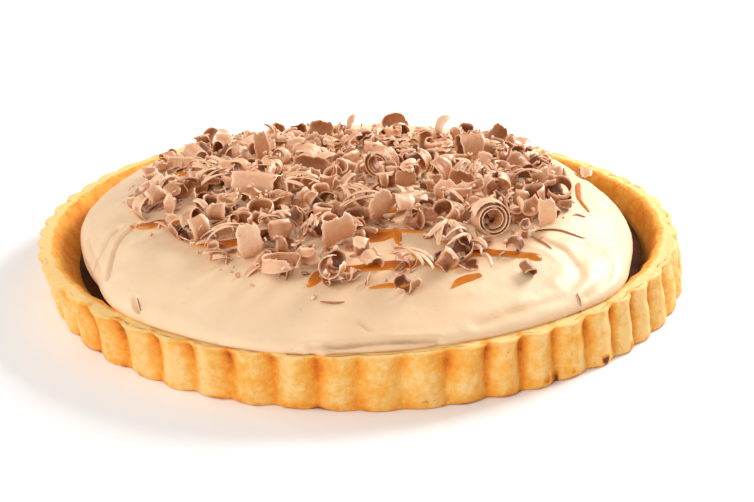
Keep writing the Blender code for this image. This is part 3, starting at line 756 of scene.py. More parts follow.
def cream_marks(points):
    """How far the spatula's marks raise the dome's points, and how much shade gathers in them."""
    push = np.zeros(len(points))
    hollow = np.zeros(len(points))
    wobble = 1 + relief(points, MARK_WOBBLE)
    for path, depth, width in CREASES + RIDGES:
        line = through_points(np.array([cream_side_point(angle, height) for angle, height in path]), 4)
        distance = near_line(points, line)
        mark = band(distance, 0, width)
        push += depth * mark * wobble
        if depth < 0:
            hollow += mark * min(1.0, -depth / FULL_SHADE_DEPTH)
            push -= CREASE_BANK * depth * band(distance, 2.2 * width, 1.2 * width)
    return push, np.clip(hollow, 0, 1)


def build_cream(material):
    """The dome with its swirls, spatula marks, creases and small lumps."""
    angle = np.arange(CREAM_COLUMNS) * 360 / CREAM_COLUMNS
    turn = np.radians(angle)
    radii, heights = cream_keys(angle)
    heights[:RINGS_FROM_ABOVE] += swirl(radii[:RINGS_FROM_ABOVE], angle[None, :])
    keys = np.stack([radii * np.cos(turn) + CREAM_SHIFT, radii * np.sin(turn), heights], axis=-1)
    rings = through_points(keys[1:], CREAM_ROWS_PER_KEY)
    count = len(rings)
    along = np.roll(rings, -1, axis=1) - np.roll(rings, 1, axis=1)
    normal = np.cross(np.gradient(rings, axis=0), along).reshape(-1, 3)
    normal /= np.linalg.norm(normal, axis=1)[:, None]
    flat = rings.reshape(-1, 3)
    row = np.repeat(np.arange(count) / (count - 1), CREAM_COLUMNS)
    free = np.clip((FREE_ROWS - row) / FREE_FADE, 0, 1)
    push, hollow = cream_marks(flat)
    flat = flat + normal * ((relief(flat, CREAM_LUMPS) + push) * free)[:, None]
    flat[:, 2] -= SKIRT_DROP * band(row, *SKIRT) * np.tile(spill(angle), count)
    middles = [[CREAM_SHIFT, 0, DOME_TOP[0][1]], [CREAM_SHIFT, 0, DOME_SIDE[-1][1]]]
    flat = np.concatenate([flat, middles])
    mesh = mesh_from("cream_dome", flat, closed_faces(count, CREAM_COLUMNS))
    add_values(mesh, "hollow", np.concatenate([hollow, [0, 0]]))
    return add_piece("cream_dome", mesh, material, "cream", "cream")


class Surface:
    """The dressed cream's own height over plan points."""

    def __init__(self, mesh):
        mesh.calc_loop_triangles()
        corners = np.empty(len(mesh.vertices) * 3)
        mesh.vertices.foreach_get("co", corners)
        faces = [tuple(t.vertices) for t in mesh.loop_triangles]
        self.tree = BVHTree.FromPolygons([Vector(c) for c in corners.reshape(-1, 3)], faces)

    def height(self, x, y):
        """Heights at many plan points; where there is no cream, the filling's."""
        down = Vector((0, 0, -1))
        found = []
        for px, py in zip(np.atleast_1d(x), np.atleast_1d(y)):
            place = self.tree.ray_cast(Vector((px, py, 0.1)), down)[0]
            found.append(FILLING_TOP if place is None else place.z)
        return np.array(found)


# Caramel drizzle: plan points of each streak with its half width there
STREAKS = [
    [(-0.0850, 0.0015, 0.0010), (-0.0790, -0.0015, 0.0016), (-0.0735, 0.0010, 0.0022),
     (-0.0660, -0.0010, 0.0024), (-0.0590, -0.0050, 0.0014)],
    [(-0.0850, -0.0385, 0.0010), (-0.0780, -0.0420, 0.0024), (-0.0700, -0.0440, 0.0028),
     (-0.0610, -0.0470, 0.0018)],
    [(-0.0600, -0.0625, 0.0012), (-0.0540, -0.0650, 0.0026), (-0.0470, -0.0665, 0.0028),
     (-0.0390, -0.0645, 0.0016)],
    [(-0.0185, -0.0990, 0.0012), (-0.0155, -0.0950, 0.0028), (-0.0125, -0.0905, 0.0026),
     (-0.0115, -0.0850, 0.0014)],
    [(-0.0145, -0.0940, 0.0018), (-0.0105, -0.0907, 0.0026), (-0.0020, -0.0893, 0.0021),
     (0.0060, -0.0880, 0.0025), (0.0138, -0.0872, 0.0027), (0.0200, -0.0852, 0.0018)],
    [(0.0120, -0.0610, 0.0012), (0.0126, -0.0660, 0.0016), (0.0129, -0.0720, 0.0015),
     (0.0135, -0.0790, 0.0019), (0.0138, -0.0868, 0.0022)],
    [(-0.0040, -0.0630, 0.0010), (0.0040, -0.0626, 0.0016), (0.0125, -0.0625, 0.0016),
     (0.0225, -0.0630, 0.0009)],
    [(-0.0030, -0.0700, 0.0018), (0.0030, -0.0680, 0.0030), (0.0090, -0.0655, 0.0024),
     (0.0125, -0.0635, 0.0014)],
    [(0.0165, -0.0750, 0.0012), (0.0195, -0.0795, 0.0028), (0.0240, -0.0848, 0.0032),
     (0.0290, -0.0870, 0.0022), (0.0330, -0.0862, 0.0010)],
    [(0.0320, -0.0805, 0.0012), (0.0400, -0.0775, 0.0023), (0.0480, -0.0770, 0.0018),
     (0.0560, -0.0765, 0.0025), (0.0625, -0.0765, 0.0019)],
    [(0.0295, -0.0985, 0.0006), (0.0325, -0.0955, 0.0015), (0.0365, -0.0930, 0.0019),
     (0.0405, -0.0905, 0.0010)],
    [(0.0020, -0.0998, 0.0006), (0.0080, -0.0988, 0.0010), (0.0135, -0.0984, 0.0009),
     (0.0190, -0.0973, 0.0006)],
    [(0.0860, -0.0040, 0.0008), (0.0840, -0.0120, 0.0014), (0.0830, -0.0220, 0.0016),
     (0.0850, -0.0340, 0.0010)],
    [(0.020, 0.012, 0.0014), (0.024, 0.002, 0.0022), (0.028, -0.008, 0.0014)],
    [(-0.030, -0.052, 0.0014), (-0.016, -0.048, 0.0020), (0.000, -0.050, 0.0018),
     (0.014, -0.046, 0.0014)],
    [(0.046, -0.052, 0.0016), (0.054, -0.050, 0.0020), (0.064, -0.044, 0.0012)],
    [(-0.020, 0.050, 0.0014), (-0.002, 0.044, 0.0020), (0.020, 0.040, 0.0016), (0.036, 0.046, 0.0012)],
    [(-0.060, 0.030, 0.0014), (-0.048, 0.044, 0.0020), (-0.030, 0.054, 0.0016)],
]
STREAK_HEIGHT = 0.0010
STREAK_RISE = (0.35, 0.65, 1.3)
STREAK_SIDES = 12
STREAK_STEPS = 14
STREAK_SINK = 0.0006
STREAK_FULLNESS = 0.82
STREAK_LEAST = 0.00005
# A streak of this half width is fully high, and at this one its colour is deepest
STREAK_FULL_WIDTH = 0.002
STREAK_DEEP_WIDTH = 0.0026
SLOPE_REACH = 0.001
BED_AVERAGE = 5


def streak_bed(surface, spine, normal):
    """Height of the cream along a streak, smoothed, and its slope across."""
    plan = spine[:, :2]
    bed = surface.height(*plan.T)
    slope = (surface.height(*(plan + normal * SLOPE_REACH).T)
             - surface.height(*(plan - normal * SLOPE_REACH).T)) / (2 * SLOPE_REACH)
    padded = np.pad(bed, BED_AVERAGE // 2, mode="edge")
    return np.convolve(padded, np.ones(BED_AVERAGE) / BED_AVERAGE, mode="valid"), slope


def build_caramel(material, surface):
    """Sauce streaks: flat-bottomed ribbons with round ends that lie on the cream."""
    points, faces, depth = [], [], []
    around = np.linspace(0, math.tau, STREAK_SIDES, endpoint=False)
    for number, streak in enumerate(STREAKS):
        spine = through_points(np.array(streak), STREAK_STEPS)
        flat = spine * (1, 1, 0)
        tangent = np.gradient(spine[:, :2], axis=0)
        tangent /= np.linalg.norm(tangent, axis=1)[:, None]
        normal = np.stack([-tangent[:, 1], tangent[:, 0]], axis=-1)
        spine[:, :2] += normal * (0.0007 * smooth_noise(flat, 0.009, 71 + number))[:, None]
        share = np.linspace(0, 1, len(spine))
        ends = np.clip(1 - (2 * share - 1) ** 8, 0, 1) ** 0.5
        swell = 1 + 0.35 * smooth_noise(flat, 0.007, 91 + number) + 0.20 * smooth_noise(flat, 0.003, 93)
        half = STREAK_FULLNESS * spine[:, 2] * ends * swell + STREAK_LEAST
        bed, slope = streak_bed(surface, spine, normal)
        first = sum(len(values) for values in depth)
        sideways = half[:, None] * np.cos(around)
        plan = spine[:, None, :2] + normal[:, None] * sideways[..., None]
        least, more, most = STREAK_RISE
        crown = np.minimum(most, least + more * half / STREAK_FULL_WIDTH)
        rise = crown[:, None] * np.sin(around) * STREAK_HEIGHT
        rise = np.where(rise < 0, -STREAK_SINK * ends[:, None], rise)
        height = bed[:, None] + slope[:, None] * sideways + rise
        points.append(np.concatenate([plan, height[..., None]], axis=-1).reshape(-1, 3))
        depth.append((np.maximum(0, np.sin(around)) * half[:, None] / STREAK_DEEP_WIDTH).reshape(-1))
        last = first + (len(spine) - 1) * STREAK_SIDES
        faces += [face[::-1] for face in ring_faces(len(spine), STREAK_SIDES) + first]
        faces += [range(first, first + STREAK_SIDES), range(last, last + STREAK_SIDES)[::-1]]
    mesh = mesh_from("caramel_drizzle", np.concatenate(points), faces)
    add_values(mesh, "depth", np.concatenate(depth))
    return add_piece("caramel_drizzle", mesh, material, "cream", "cream")


# Chocolate shavings

# The torn end of a shaving is a sum of waves across it, each with its size and its number. A large curl's
# face has fine ripples.
TEARS = [(0.5, 2.3), (0.3, 6.1), (0.2, 13)]
RIPPLE_SPACING = 0.0013
FINE_THICKNESS = 0.00062


def shaving(inner, width, turned, growth, columns, rows, thickness, draw=None, ripple=0.0):
    """Points, faces and values of one shaving rolled about Y, ragged where a random source is given."""
    share, across = np.meshgrid(np.linspace(0, 1, columns + 1), np.linspace(-1, 1, rows + 1), indexing="ij")
    turn = np.radians(turned) * share
    taper = 1 - CURL_TAPER * np.abs(2 * share - 1) ** 3
    half = np.full(share.shape, thickness / 2)
    rise = np.zeros(share.shape)
    if draw is not None:
        phase = [draw.uniform(0, math.tau) for _ in range(6)]
        torn = sum(size * np.sin(turns * across + start) for (size, turns), start in zip(TEARS, phase))
        reach = np.minimum(0.30, 0.0016 / max(inner, 0.001))
        turn = turn + reach * torn * (2 * share - 1) * np.abs(2 * share - 1) ** 2 * np.radians(40)
        taper = taper * (1 + 0.05 * np.sin(17 * share + phase[3]) + 0.03 * np.sin(41 * share + phase[4]))
        half = half * (1 - 0.55 * np.abs(across) ** 4) * (1 - 0.5 * np.abs(2 * share - 1) ** 6)
        length = np.radians(turned) * (inner + 0.002)
        rise = ripple * np.sin(phase[5] + 2 * math.pi * share * length / RIPPLE_SPACING)
        rise = rise + 0.00035 * np.sin(3.0 * share + 2.0 * across + phase[0])
    radius = inner + growth * turn / math.tau + rise
    points = []
    for sign in (1, -1):
        far = radius + sign * half
        side = [far * np.cos(turn), across * width / 2 * taper, far * np.sin(turn)]
        points.append(np.stack(side, axis=-1))
    points = np.concatenate([face.reshape(-1, 3) for face in points])
    stride = rows + 1
    layer = (columns + 1) * stride
    k, j = np.meshgrid(np.arange(columns), np.arange(rows), indexing="ij")
    here = (k * stride + j).reshape(-1)
    top = np.stack([here, here + 1, here + stride + 1, here + stride], axis=-1)
    bottom = top[:, ::-1] + layer
    rim = np.concatenate([np.arange(rows), np.arange(columns) * stride + rows,
                          layer - 1 - np.arange(rows), (columns - np.arange(columns)) * stride])
    after = np.roll(rim, -1)
    sides = np.stack([rim, rim + layer, after + layer, after], axis=-1)
    faces = np.concatenate([top, bottom, sides])
    # Inner faces are marked for partly painted shade, edges for a painted highlight
    inside = np.concatenate([np.zeros(layer), np.ones(layer)])
    edge = np.maximum(np.abs(across) ** 10, np.abs(2 * share - 1) ** 24).reshape(-1)
    scrape = (0.5 + 0.5 * np.sin(across * 23 + 3 * np.sin(across * 7)) * np.cos(9 * share)).reshape(-1)
    return points, faces, {"inside": inside, "edge": np.tile(edge, 2), "scrape": np.tile(scrape, 2)}


def turned_matrix(heading, tilt, roll):
    """The turn that takes a shaving from its own axes to the tart's."""
    turn = (Matrix.Rotation(math.radians(heading), 3, "Z") @ Matrix.Rotation(math.radians(tilt), 3, "X")
            @ Matrix.Rotation(math.radians(roll), 3, "Y"))
    return np.array(turn)


def bed_down(coarse, x, y, turn, clearance):
    """The move that lays a turned shaving over the cream at a plan point, and its reach in plan."""
    turned_points = coarse @ turn.T
    middle = turned_points.mean(axis=0)
    plan = turned_points[:, :2] - middle[:2] + (x, y)
    lift = np.max(cream_height(plan[:, 0], plan[:, 1]) - turned_points[:, 2])
    move = np.array([x - middle[0], y - middle[1], lift + clearance])
    reach = np.max(np.hypot(plan[:, 0] - x, plan[:, 1] - y))
    return move, reach


def is_clear(x, y, reach, circles):
    """Whether a plan circle stays off all the others."""
    return all(math.hypot(x - cx, y - cy) > reach + radius + CURL_SPACING for cx, cy, radius in circles)


def heap_reach(angle):
    """How far from the middle the heap spreads, longest towards the front."""
    return HEAP_REACH + bulges(angle, HEAP_BULGES)


# Painted shade: chocolate this far below the top of the heap is darker by this much of the tone
BURIED_DEPTH = 0.007
BURIED_SHADE = 0.62


class Heap:
    """Collects shavings as one mesh, and knows how high they lie over each millimetre of the cream."""

    CELL = 0.001
    HALF = 0.120

    def __init__(self, surface):
        self.surface = surface
        self.clear()
        line = np.arange(-self.HALF, self.HALF, self.CELL) + self.CELL / 2
        x, y = np.meshgrid(line, line, indexing="ij")
        self.top = surface.height(x.reshape(-1), y.reshape(-1)).reshape(x.shape)

    def clear(self):
        """Forgets the collected shavings but not their heights."""
        self.points, self.faces, self.values = [], [], {"inside": [], "edge": [], "scrape": [], "tone": []}
        self.count = 0

    def cells(self, points):
        """Grid cells under points."""
        index = np.clip(((points[:, :2] + self.HALF) / self.CELL).astype(int), 0, self.top.shape[0] - 1)
        return index[:, 0], index[:, 1]

    def cover(self, points):
        """Raises the height grid to the given points."""
        ix, iy = self.cells(points)
        np.maximum.at(self.top, (ix, iy), points[:, 2])

    def sink(self, points, depth):
        """Sets a shaving down on what lies under it, sunk in by a depth."""
        ix, iy = self.cells(points)
        points[:, 2] += np.max(self.top[ix, iy] - points[:, 2]) - depth

    def sink_in_cream(self, points, depth):
        """Sets a shaving down on the cream itself, sunk in by a depth."""
        rest = self.surface.height(points[::3, 0], points[::3, 1]) - points[::3, 2]
        points[:, 2] += rest.max() - depth

    def add(self, points, faces, values, tone):
        """Adds one finished shaving."""
        self.points.append(points)
        self.faces.append(faces + self.count)
        for name in ("inside", "edge", "scrape"):
            self.values[name].append(values[name])
        self.values["tone"].append(np.full(len(points), tone))
        self.count += len(points)
        self.cover(points)

    def mesh(self, name):
        """All that was collected, as one mesh, and a fresh start."""
        points = np.concatenate(self.points)
        mesh = mesh_from(name, points, np.concatenate(self.faces))
        # Pieces below the top of the heap get painted shade in their tone
        ix, iy = self.cells(points)
        buried_shade = np.clip((self.top[ix, iy] - points[:, 2]) / BURIED_DEPTH, 0, 1)
        for label, parts in self.values.items():
            add_values(mesh, label, np.concatenate(parts) + (BURIED_SHADE * buried_shade if label == "tone" else 0))
        self.clear()
        return mesh


def single_mesh(name, points, faces, values, tone):
    """One large shaving as a mesh of its own."""
    mesh = mesh_from(name, points, faces)
    for label, numbers in values.items():
        add_values(mesh, label, numbers)
    add_values(mesh, "tone", np.full(len(points), tone))
    return mesh


def build_large_curls(heap, material):
    """The large shavings, each standing for its own node. Returns the plan circles that they take up."""
    draw = random.Random(5)
    circles = []
    for name, (x, y, inner, width, turned, growth, heading, tilt, roll) in LARGE_CURLS.items():
        segments = max(4, round(turned / LARGE_CURL_SEGMENT))
        coarse = shaving(inner, width, turned, growth, segments, 1, SHAVING)[0]
        turn = turned_matrix(heading, tilt, roll)
        move, reach = bed_down(coarse, x, y, turn, HERO_CLEARANCE)
        circles.append((x, y, reach))
        columns = max(30, round(turned / 5))
        thickness = FINE_THICKNESS * (0.72 if turned > 360 else 1.0)
        points, faces, values = shaving(inner, width, turned, growth, columns, 12, thickness, draw, 0.00007)
        points = points @ turn.T + move
        heap.cover(points)
        mesh = single_mesh("shaved_" + name, points, faces, values, draw.uniform(0.15, 0.75))
        add_piece("shaved_" + name, mesh, material, "chocolate", name)
    return circles


# The curls beyond this x stand alone on the right and are darker than most
LONE_CURL_X = 0.055
DARK_TONE = 1.15


def add_small_curls(heap, circles):
    """The shavings that are fused to the cream in the solids, at the same places."""
    detail = random.Random(11)
    taken = []

    def lay(x, y, inner, width, turned, heading, tilt, roll, patches):
        """Lays one shaving where it is clear of the large ones, and keeps its place."""
        coarse = shaving(inner, width, turned, 0.0, CURL_SEGMENTS, 1, SHAVING)[0]
        turn = turned_matrix(heading, tilt, roll)
        move, reach = bed_down(coarse, x, y, turn, -CURL_SINK)
        core = CURL_CROWDING * reach
        if is_clear(x, y, reach, circles) and (patches is None or is_clear(x, y, core, taken + patches)):
            taken.append((x, y, core))
            points, faces, values = shaving(inner, width, turned, 0.0, 20, 5, FINE_THICKNESS, detail)
            tone = detail.uniform(0.0, 1.0)
            heap.add(points @ turn.T + move, faces, values, DARK_TONE if x > LONE_CURL_X else tone)

    for row in PLACED_CURLS:
        lay(*row, None)
    draw = random.Random(CURL_SEED)
    for number in range(CURL_PLACES):
        distance = CURL_FIELD * math.sqrt((number + 0.5) / CURL_PLACES)
        angle = number * GOLDEN_ANGLE
        if distance > heap_reach(angle):
            continue
        x = distance * math.cos(math.radians(angle))
        y = distance * math.sin(math.radians(angle)) + CURL_FIELD_Y
        inner = draw.uniform(*CURL_RADII)
        width = draw.uniform(*CURL_WIDTHS)
        turned = draw.uniform(*CURL_TURNS)
        heading = draw.uniform(0, 360)
        tilt = draw.choice(CURL_TILTS)
        roll = draw.uniform(0, 360)
        lay(x, y, inner, width, turned, heading, tilt, roll, BARE_PATCHES)


# Patches that the loose pieces leave bare too, so that sauce and cream show: plan x, y and radius
SAUCE_WINDOWS = [(0.0135, -0.0790, 0.0085), (0.0050, -0.0740, 0.0065), (0.0050, -0.0880, 0.0050),
                 (0.0225, -0.0730, 0.0060), (0.0240, -0.0860, 0.0055), (0.0130, -0.0640, 0.0050),
                 (0.0480, -0.0800, 0.0080), (0.0580, -0.0780, 0.0080), (0.0380, -0.0930, 0.0055),
                 (-0.0150, -0.0950, 0.0045), (0.0100, -0.0990, 0.0070), (-0.0783, -0.0419, 0.0055),
                 (-0.0690, -0.0450, 0.0055), (-0.0500, -0.0670, 0.0050), (0.0840, -0.0160, 0.0100),
                 (-0.0730, 0.0000, 0.0060), (0.0700, -0.0700, 0.0080), (0.0030, -0.0450, 0.0045),
                 (0.0190, -0.0440, 0.0045), (-0.0660, -0.0090, 0.0060), (0.0170, -0.0670, 0.0060)]


def on_bare_patch(x, y):
    """Whether a plan point lies where sauce and cream show."""
    return any(math.hypot(x - px, y - py) < radius for px, py, radius in SAUCE_WINDOWS)


def heap_place(draw, spread, power):
    """A random plan point on the heap."""
    angle = draw.uniform(0, 360)
    distance = float(heap_reach(angle)) * draw.uniform(0, 1) ** power * spread
    return distance * math.cos(math.radians(angle)), distance * math.sin(math.radians(angle)) + CURL_FIELD_Y


# No loose piece stands higher than this, or further above the cream than the rise. The rise is least at the
# rear, where the heap thins out, and grows towards the front over this distance.
HEAP_TOP = 0.0525
REAR_RISE = 0.0075
FRONT_RISE = 0.0050
RISE_DISTANCE = 0.030


def rise_limit(y):
    """How far the loose pieces may stand above the cream."""
    return REAR_RISE + FRONT_RISE * float(np.clip(-y / RISE_DISTANCE, 0, 1))


def is_low(points, x, y):
    """Whether a laid piece stays under both limits."""
    return points[:, 2].max() < min(HEAP_TOP, float(cream_height(x, y)[0]) + rise_limit(y))


def centred(points, turn, x, y):
    """A shaving turned, with its middle over a plan point."""
    laid = points @ turn.T
    return laid - (*laid[:, :2].mean(axis=0), 0) + (x, y, 0)


BED_FLAKES = 720
FLAKE_RADII = (0.005, 0.011)
FLAKE_WIDTHS = (0.0018, 0.0048)
FLAKE_TILTS = (-14, 14)
FLAKE_SINK = 0.0002


def add_bed_flakes(heap):
    """A bed of small flat flakes between and under the curls, darker in tone than the loose pieces as
    painted shade in the gaps.
    """
    draw = random.Random(61)
    for _ in range(BED_FLAKES):
        x, y = heap_place(draw, 0.97, 0.5)
        bent = draw.uniform(14, 40)
        points, faces, values = shaving(draw.uniform(*FLAKE_RADII), draw.uniform(*FLAKE_WIDTHS), bent, 0.0,
                                        5, 2, FINE_THICKNESS * 0.7, draw)
        turn = turned_matrix(draw.uniform(0, 360), draw.uniform(*FLAKE_TILTS),
                             bent / 2 - 90 + draw.uniform(*FLAKE_TILTS))
        laid = centred(points, turn, x, y)
        heap.sink_in_cream(laid, FLAKE_SINK)
        if not on_bare_patch(x, y):
            # The darker tones paint the shade between the curls
            heap.add(laid, faces, values, draw.uniform(0.45, 1.1))


# Bundles of strips: plan x and y, heading, and how many strips
FANS = [
    (-0.0500, -0.0740, 20, 9), (-0.0420, -0.0760, 200, 6), (-0.0150, -0.0730, 70, 7),
    (0.0330, -0.0740, 120, 8), (0.0290, -0.0790, 60, 7), (-0.0010, -0.0560, 10, 6),
    (0.0330, -0.0560, 150, 8), (-0.0560, -0.0260, 30, 8), (0.0180, -0.0950, 160, 5),
    (-0.0230, -0.0380, 340, 8), (0.0600, -0.0300, 20, 7), (-0.0740, -0.0230, 60, 7),
    (0.0180, 0.0000, 200, 7), (-0.0600, 0.0000, 320, 7), (0.0420, -0.0180, 250, 7),
    (-0.0030, -0.0480, 300, 6), (0.0380, -0.0850, 100, 6), (-0.0300, -0.0680, 130, 7),
]
STRIP_SPACING = 0.0013
STRIP_STRAY = 0.002
STRIP_SINK = 0.0012


def add_fans(heap):
    """Bundles of thin strips that broke off side by side, each bundle spread like a fan."""
    draw = random.Random(41)
    for x, y, heading, count in FANS:
        tone = draw.uniform(0.2, 0.8)
        for number in range(count):
            bent = draw.uniform(45, 85)
            points, faces, values = shaving(draw.uniform(0.006, 0.013), draw.uniform(0.0008, 0.0020),
                                            bent, 0.0, 12, 2, FINE_THICKNESS * 0.8, draw)
            turn = turned_matrix(heading + draw.uniform(-16, 16), draw.uniform(-30, 30),
                                 bent / 2 - 90 + draw.uniform(-22, 22))
            across = (number - count / 2) * STRIP_SPACING
            side = math.radians(heading + 90)
            px = x + across * math.cos(side) + draw.uniform(-STRIP_STRAY, STRIP_STRAY)
            py = y + across * math.sin(side) + draw.uniform(-STRIP_STRAY, STRIP_STRAY)
            laid = centred(points, turn, px, py)
            heap.sink(laid, STRIP_SINK)
            if is_low(laid, px, py):
                heap.add(laid, faces, values, tone + draw.uniform(-0.15, 0.15))


# Thin threads and slivers of chocolate that lie on the cream by themselves: plan points
THREADS = [
    [(0.0618, -0.0605), (0.0660, -0.0578), (0.0714, -0.0562), (0.0767, -0.0565), (0.0807, -0.0560)],
    [(0.0600, -0.0640), (0.0622, -0.0660), (0.0650, -0.0680), (0.0668, -0.0700)],
    [(0.0728, -0.0905), (0.0737, -0.0922), (0.0742, -0.0940)],
    [(-0.0140, -0.1060), (-0.0100, -0.1065), (-0.0060, -0.1060)],
    [(-0.0766, -0.0878), (-0.0760, -0.0898), (-0.0753, -0.0918), (-0.0748, -0.0932)],
    [(0.0780, -0.0420), (0.0800, -0.0400), (0.0830, -0.0396)],
]


THREAD_SIDES = 6
THREAD_LIFT = 0.0003
THREAD_TONE = 0.95


def add_threads(heap):
    """Lays each thread along the cream."""
    around = np.linspace(0, math.tau, THREAD_SIDES, endpoint=False)
    for path in THREADS:
        spine = through_points(np.array(path), 8)
        share = np.linspace(0, 1, len(spine))
        half = 0.00012 + 0.00032 * np.sin(math.pi * share)
        plan = spine[:, None, :] + (half[:, None] * np.cos(around))[..., None] * np.array([0.5, 1.0])
        bed = heap.surface.height(spine[:, 0], spine[:, 1])[:, None]
        height = bed + THREAD_LIFT + half[:, None] * np.sin(around)
        points = np.concatenate([plan, height[..., None]], axis=-1).reshape(-1, 3)
        plain = {name: np.zeros(len(points)) for name in ("inside", "edge", "scrape")}
        heap.add(points, ring_faces(len(spine), THREAD_SIDES), plain, THREAD_TONE)


# Loose curls with a place of their own: the shaving's measures as for small curls, then its tone
HAND_LAID = [
    (0.0535, -0.0752, 0.0024, 0.0050, 250, -20, 20, 80, 1.30),
    (0.0330, -0.0800, 0.0030, 0.0055, 200, 50, 15, 120, 0.9),
    (0.0360, -0.0860, 0.0060, 0.0060, 70, 20, 10, 130, 0.3),
    (-0.0330, -0.0850, 0.0080, 0.0060, 60, 70, 25, 100, 0.2),
]
LOOSE_CURLS = 480
LOOSE_TRIES = 7
# Kinds of loose curl: where the kind's share of the draws ends, then the radii, widths and turns
LOOSE_KINDS = [(0.45, (0.0020, 0.0044), (0.0035, 0.0080), (90, 300)),
               (0.75, (0.006, 0.012), (0.0030, 0.0070), (30, 70)),
               (1.00, (0.0015, 0.0040), (0.0015, 0.004), (60, 220))]
LOOSE_TILTS = [0, 10, 25, 50, 80]
LOOSE_GROWTH = 0.0004
LOOSE_SINK = 0.0016
HAND_LAID_SINK = 0.0006


def add_loose_curls(heap):
    """More shavings and flakes, laid on and between the others where they rest lowest."""
    draw = random.Random(77)
    for x, y, inner, width, turned, heading, tilt, roll, tone in HAND_LAID:
        points, faces, values = shaving(inner, width, turned, LOOSE_GROWTH, 16, 5, FINE_THICKNESS, draw)
        laid = centred(points, turned_matrix(heading, tilt, roll), x, y)
        heap.sink_in_cream(laid, HAND_LAID_SINK)
        heap.add(laid, faces, values, tone)
    for _ in range(LOOSE_CURLS):
        kind = draw.random()
        ranges = next(row[1:] for row in LOOSE_KINDS if kind < row[0])
        inner, width, turned = [draw.uniform(*limits) for limits in ranges]
        points, faces, values = shaving(inner, width, turned, LOOSE_GROWTH, 14, 4,
                                        FINE_THICKNESS * 0.9, draw)
        best = None
        for _ in range(LOOSE_TRIES):
            x, y = heap_place(draw, 1.0, 0.56)
            turn = turned_matrix(draw.uniform(0, 360), draw.choice(LOOSE_TILTS), draw.uniform(0, 360))
            if on_bare_patch(x, y):
                continue
            laid = centred(points, turn, x, y)
            heap.sink(laid, LOOSE_SINK)
            above = laid[:, 2].max() - float(cream_height(x, y)[0])
            fits = laid[:, 2].max() < HEAP_TOP and above < rise_limit(y)
            if fits and (best is None or above < best[0]):
                best = (above, laid)
        if best is not None:
            heap.add(best[1], faces, values, draw.uniform(0.0, 1.0))


CRUMBS = 620
CRUMB_RADII = (0.0010, 0.003)
CRUMB_WIDTHS = (0.0005, 0.0022)
CRUMB_THICKNESS = 0.0004
CRUMB_SINK = 0.0003


def add_crumbs(heap):
    """Tiny flakes and dust from the shaving, over the heap and a little past its edge."""
    draw = random.Random(99)
    for _ in range(CRUMBS):
        x, y = heap_place(draw, 1.06, 0.5)
        width = draw.uniform(*CRUMB_WIDTHS)
        points, faces, values = shaving(draw.uniform(*CRUMB_RADII), width, draw.uniform(20, 60), 0.0, 3, 1,
                                        CRUMB_THICKNESS)
        turn = turned_matrix(draw.uniform(0, 360), draw.uniform(0, 60), draw.uniform(0, 360))
        laid = centred(points, turn, x, y)
        heap.sink(laid, CRUMB_SINK)
        if is_low(laid, x, y):
            heap.add(laid, faces, values, draw.uniform(0.2, 1.0))


# Camera, light and floor

def build_camera():
    """The camera at the photo's viewing angle."""
    camera = bpy.data.objects.new("camera", bpy.data.cameras.new("camera"))
    camera.data.sensor_width = 36
    camera.data.lens = CAMERA_LENS
    camera.data.clip_start = 0.01
    place = Vector(CAMERA_PLACE)
    turn = (Vector(CAMERA_TARGET) - place).to_track_quat("-Z", "Y").to_matrix().to_4x4()
    roll = Matrix.Rotation(math.radians(CAMERA_ROLL), 4, "Z")
    camera.matrix_world = Matrix.Translation(place) @ turn @ roll
    bpy.context.scene.collection.objects.link(camera)
    bpy.context.scene.camera = camera


def area_light(name, place, target, size, power, colour):
    """A soft square light aimed at a point."""
    light = bpy.data.lights.new(name, "AREA")
    light.shape = "SQUARE"
    light.size = size
    light.energy = power
    light.color = colour
    lamp = bpy.data.objects.new(name, light)
    lamp.location = place
    lamp.rotation_euler = (Vector(target) - Vector(place)).to_track_quat("-Z", "Y").to_euler()
    bpy.context.scene.collection.objects.link(lamp)


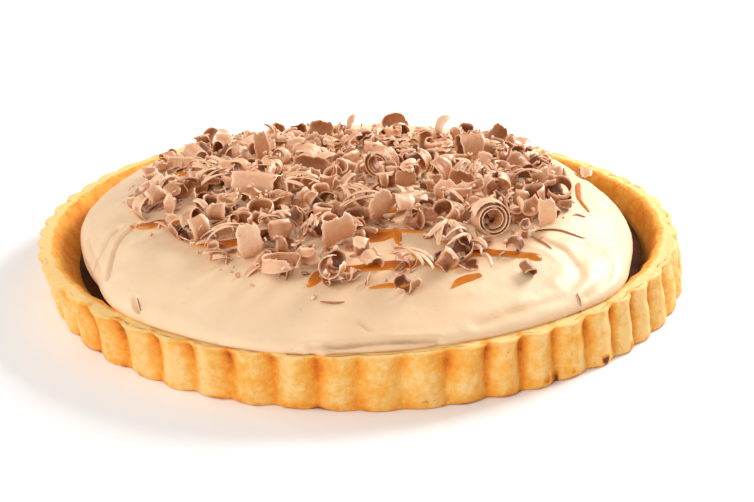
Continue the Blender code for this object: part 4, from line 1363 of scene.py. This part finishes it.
# Lights: name, place, size, power and colour
LIGHTS = [("window", (0.62, 0.42, 0.50), 0.36, 10.7, (1.0, 0.985, 0.985)),
          ("fill", (-0.40, -0.70, 0.55), 0.7, 4.6, (1.0, 0.98, 0.96)),
          ("side", (-0.80, 0.15, 0.40), 0.5, 2.2, (0.965, 0.98, 1.0))]
LIGHTS_TARGET = (0, 0, 0.02)
SURROUND_COLOUR = (1.0, 0.99, 0.98, 1.0)
SURROUND_STRENGTH = 0.46
FLOOR_HALF = 3.0
FLOOR_COLOUR = (0.93, 0.925, 0.92, 1.0)


def build_studio():
    """Bright surround, a window-like light from the right rear, soft ones at the left, and a pale floor."""
    world = bpy.data.worlds.new("studio")
    world.use_nodes = True
    background = world.node_tree.nodes["Background"]
    background.inputs["Color"].default_value = SURROUND_COLOUR
    background.inputs["Strength"].default_value = SURROUND_STRENGTH
    scene = bpy.context.scene
    scene.world = world
    scene.view_settings.view_transform = "Standard"
    scene.view_settings.look = "None"
    scene.view_settings.exposure = 0.0
    for name, place, size, power, colour in LIGHTS:
        area_light(name, place, LIGHTS_TARGET, size, power, colour)
    floor_mesh = bpy.data.meshes.new("floor")
    corners = [(-1, -1), (1, -1), (1, 1), (-1, 1)]
    floor_mesh.from_pydata([(x * FLOOR_HALF, y * FLOOR_HALF, 0) for x, y in corners], [], [(0, 1, 2, 3)])
    finish = Finish("floor", 0.6)
    finish.set(Base_Color=FLOOR_COLOUR)
    floor_mesh.materials.append(finish.material)
    floor = bpy.data.objects.new("floor", floor_mesh)
    scene.collection.objects.link(floor)


def main():
    """Dresses the tart."""
    build_camera()
    build_studio()
    chocolate = chocolate_finish()
    build_crust(pastry_finish())
    build_filling(filling_finish())
    surface = Surface(build_cream(cream_finish()).data)
    build_caramel(caramel_finish(), surface)
    heap = Heap(surface)
    circles = build_large_curls(heap, chocolate)
    add_small_curls(heap, circles)
    add_piece("small_shavings", heap.mesh("small_shavings"), chocolate, "chocolate", "cream")
    add_bed_flakes(heap)
    add_threads(heap)
    add_piece("bed_flakes", heap.mesh("bed_flakes"), chocolate, "chocolate", "cream")
    add_loose_curls(heap)
    add_fans(heap)
    add_crumbs(heap)
    add_piece("loose_shavings", heap.mesh("loose_shavings"), chocolate, "chocolate", "cream")


main()
